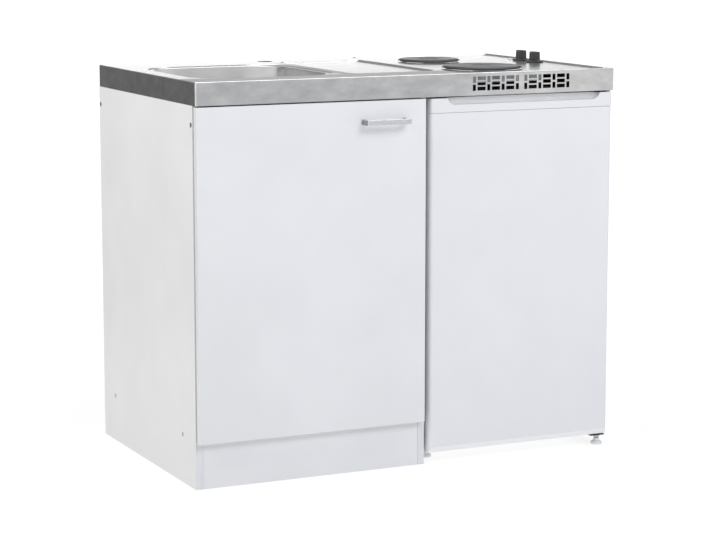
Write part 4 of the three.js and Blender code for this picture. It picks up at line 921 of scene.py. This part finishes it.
def model_trim():
    """Top trim of the refrigerator door, moulded with a scooped grip under its upper edge."""
    x0, x1, y0, y1, z0, z1 = 542.5, 997.5, 2.0, 40.0, 775.75, 807.25
    left, right, depth, drop, above = 590.0, 958.0, 15.0, 15.0, 4.0
    trim = block("fridge_door_grip_trim", x0, x1, y0, y1, z0, z1)
    round_edges(trim, lambda e: along(e, 2) and middle(e).y < y0 + 1.0, 7.5, 6)
    scoop = block("scoop", left, right, y0 - 12.0, y0 + depth, z1 - drop, z1 + above)
    tapered(scoop, (1.05, 1.0), ((left + right) / 2, y0, z1 + above))
    round_edges(scoop, lambda e: along(e, 1) and middle(e).z < z1 - 10.0, 11.0, 7)
    back = lambda e: middle(e).y > y0 + depth - 0.5 and middle(e).z < z1 + above - 1.0
    round_edges(scoop, back, 9.0, 6)
    cut(trim, scoop)
    for height, reach in ((z1, 14.0), (z0, 10.0)):
        edge = lambda e: level(e) and abs(middle(e).z - height) < 0.1 and middle(e).y < y0 + reach
        round_edges(trim, edge, 0.8, 2)
    finish(trim, "trim_plastic", "fridge_door", "fridge_door_trim", angle=40.0)

    # the scoop is painted whiter than the face: painted light in the recess that the apron shades
    def in_scoop(face):
        spot = face.center / MM - ORIGIN
        across = 560.0 < spot.x < 985.0 and y0 + 1.0 < spot.y < y0 + depth + 1.0
        return across and spot.z > z1 - drop - 1.0

    faced(trim, white_painted_light, in_scoop)


def model_foot(name, x, y, top):
    """Levelling foot: a white nylon pad and a plated stud with a lock nut under the case."""
    pad = [(0.0, 0.0), (12.4, 0.0), (13.0, 0.6), (13.0, 4.2), (12.2, 5.6), (7.6, 9.0)]
    pad += [(6.8, 10.6), (6.4, 13.6), (5.8, 14.2), (0.0, 14.2)]
    finish(turned(name + "_pad", pad, x, y, 0.0, 32), "foot_nylon", ROOT, name)
    stud = [(0.0, 13.0), (4.0, 13.0)]
    thread, pitch = 14.0, 1.25
    while thread < top - 6.0:
        stud += [(4.0, thread), (3.5, thread + 0.6), (4.0, thread + 1.2)]
        thread += pitch
    stud += [(4.0, top - 5.6), (7.2, top - 5.4), (7.2, top - 0.6), (6.8, top), (0.0, top)]
    finish(turned(name + "_stud", stud, x, y, 0.0, 24), "zinc_steel", ROOT)


# ---------------------------------------------------------------- assembly of the looks

model_worktop()
for end in PLATES:
    model_plate(end)
for end in KNOBS:
    model_knob(end)
model_lamp()
model_strainer()
model_handle()
model_trim()
for name, place in FEET.items():
    model_foot(name, *place)

for name in ("side_panel_left", "side_panel_right"):
    faced(softened(name, "white_board", ROOT, 0.6), edging, lambda f: abs(f.normal.x) < 0.5)
for name in ("floor_panel", "plinth_panel", "top_rail_front", "top_rail_rear"):
    softened(name, "white_board", ROOT, 0.6)
sink_door = softened("sink_door_panel", "white_board", "sink_door", 0.9, 3)
faced(sink_door, edging, lambda f: abs(f.normal.y) < 0.5)
softened("fridge_cabinet", "white_enamel", ROOT, 1.5)
fridge_door = softened("fridge_door_panel", "white_enamel", "fridge_door", 1.8, 3)
# the foot of the door is a moulded end cap; it is painted whiter than the enamelled sheet above it,
# as painted light from the floor below
faced(fridge_door, white_painted_light, lambda f: f.center.z < END_CAP_TOP * MM)
softened("door_gasket", "gasket_rubber", "fridge_door", 1.5, 3)
softened("fridge_door_liner", "white_plastic", "fridge_door", 1.2, 3, material=liner_white)
softened("fridge_liner", "white_plastic", ROOT, 0.8, material=liner_white)

softened("worktop_frame", "pine_batten", ROOT, 0.8)
softened("hob_tray", "zinc_steel", ROOT, 0.5)
softened("terminal_box", "black_plastic", ROOT, 1.2)
for end in ("front", "rear"):
    softened(f"plate_clamp_{end}", "zinc_steel", ROOT, 0.5)
    softened(f"switch_{end}", "white_plastic", ROOT, 1.0)
    softened(f"spindle_{end}", "zinc_steel", f"knob_{end}", 0.4)
    softened(f"screw_rail_{end}", "zinc_steel", ROOT, 0.3)
    softened(f"screw_floor_{end}", "zinc_steel", ROOT, 0.3)
for end in ("upper", "lower"):
    softened(f"hinge_cup_{end}", "zinc_steel", "sink_door", 0.6)
    softened(f"hinge_arm_{end}", "zinc_steel", ROOT, 0.6)
    softened(f"shelf_{end}", "shelf_glass", ROOT, 1.0)
    softened(f"door_rack_{end}", "clear_plastic", "fridge_door", 1.0)
for end in ("top", "bottom"):
    softened(f"hinge_bracket_{end}", "black_paint", ROOT, 0.5)
softened("waste_body", "white_plastic", ROOT, 1.0)
softened("freezer_box", "freezer_aluminium", ROOT, 0.8)
softened("freezer_flap", "white_plastic", "freezer_flap", 1.2)
softened("crisper_drawer", "clear_plastic", ROOT, 1.2)
softened("thermostat_knob", "white_plastic", "thermostat_knob", 1.0)
softened("compressor", "black_paint", ROOT, 3.0, 3)
softened("condenser", "black_paint", ROOT, 0.6)

slot_of = {part["node"]: part["material_slot"] for part in frame["record"]["subparts"]}
for name, obj in frame["nodes"].items():
    for used in obj.material_slots:
        used.material = FINISHES[slot_of[name]]
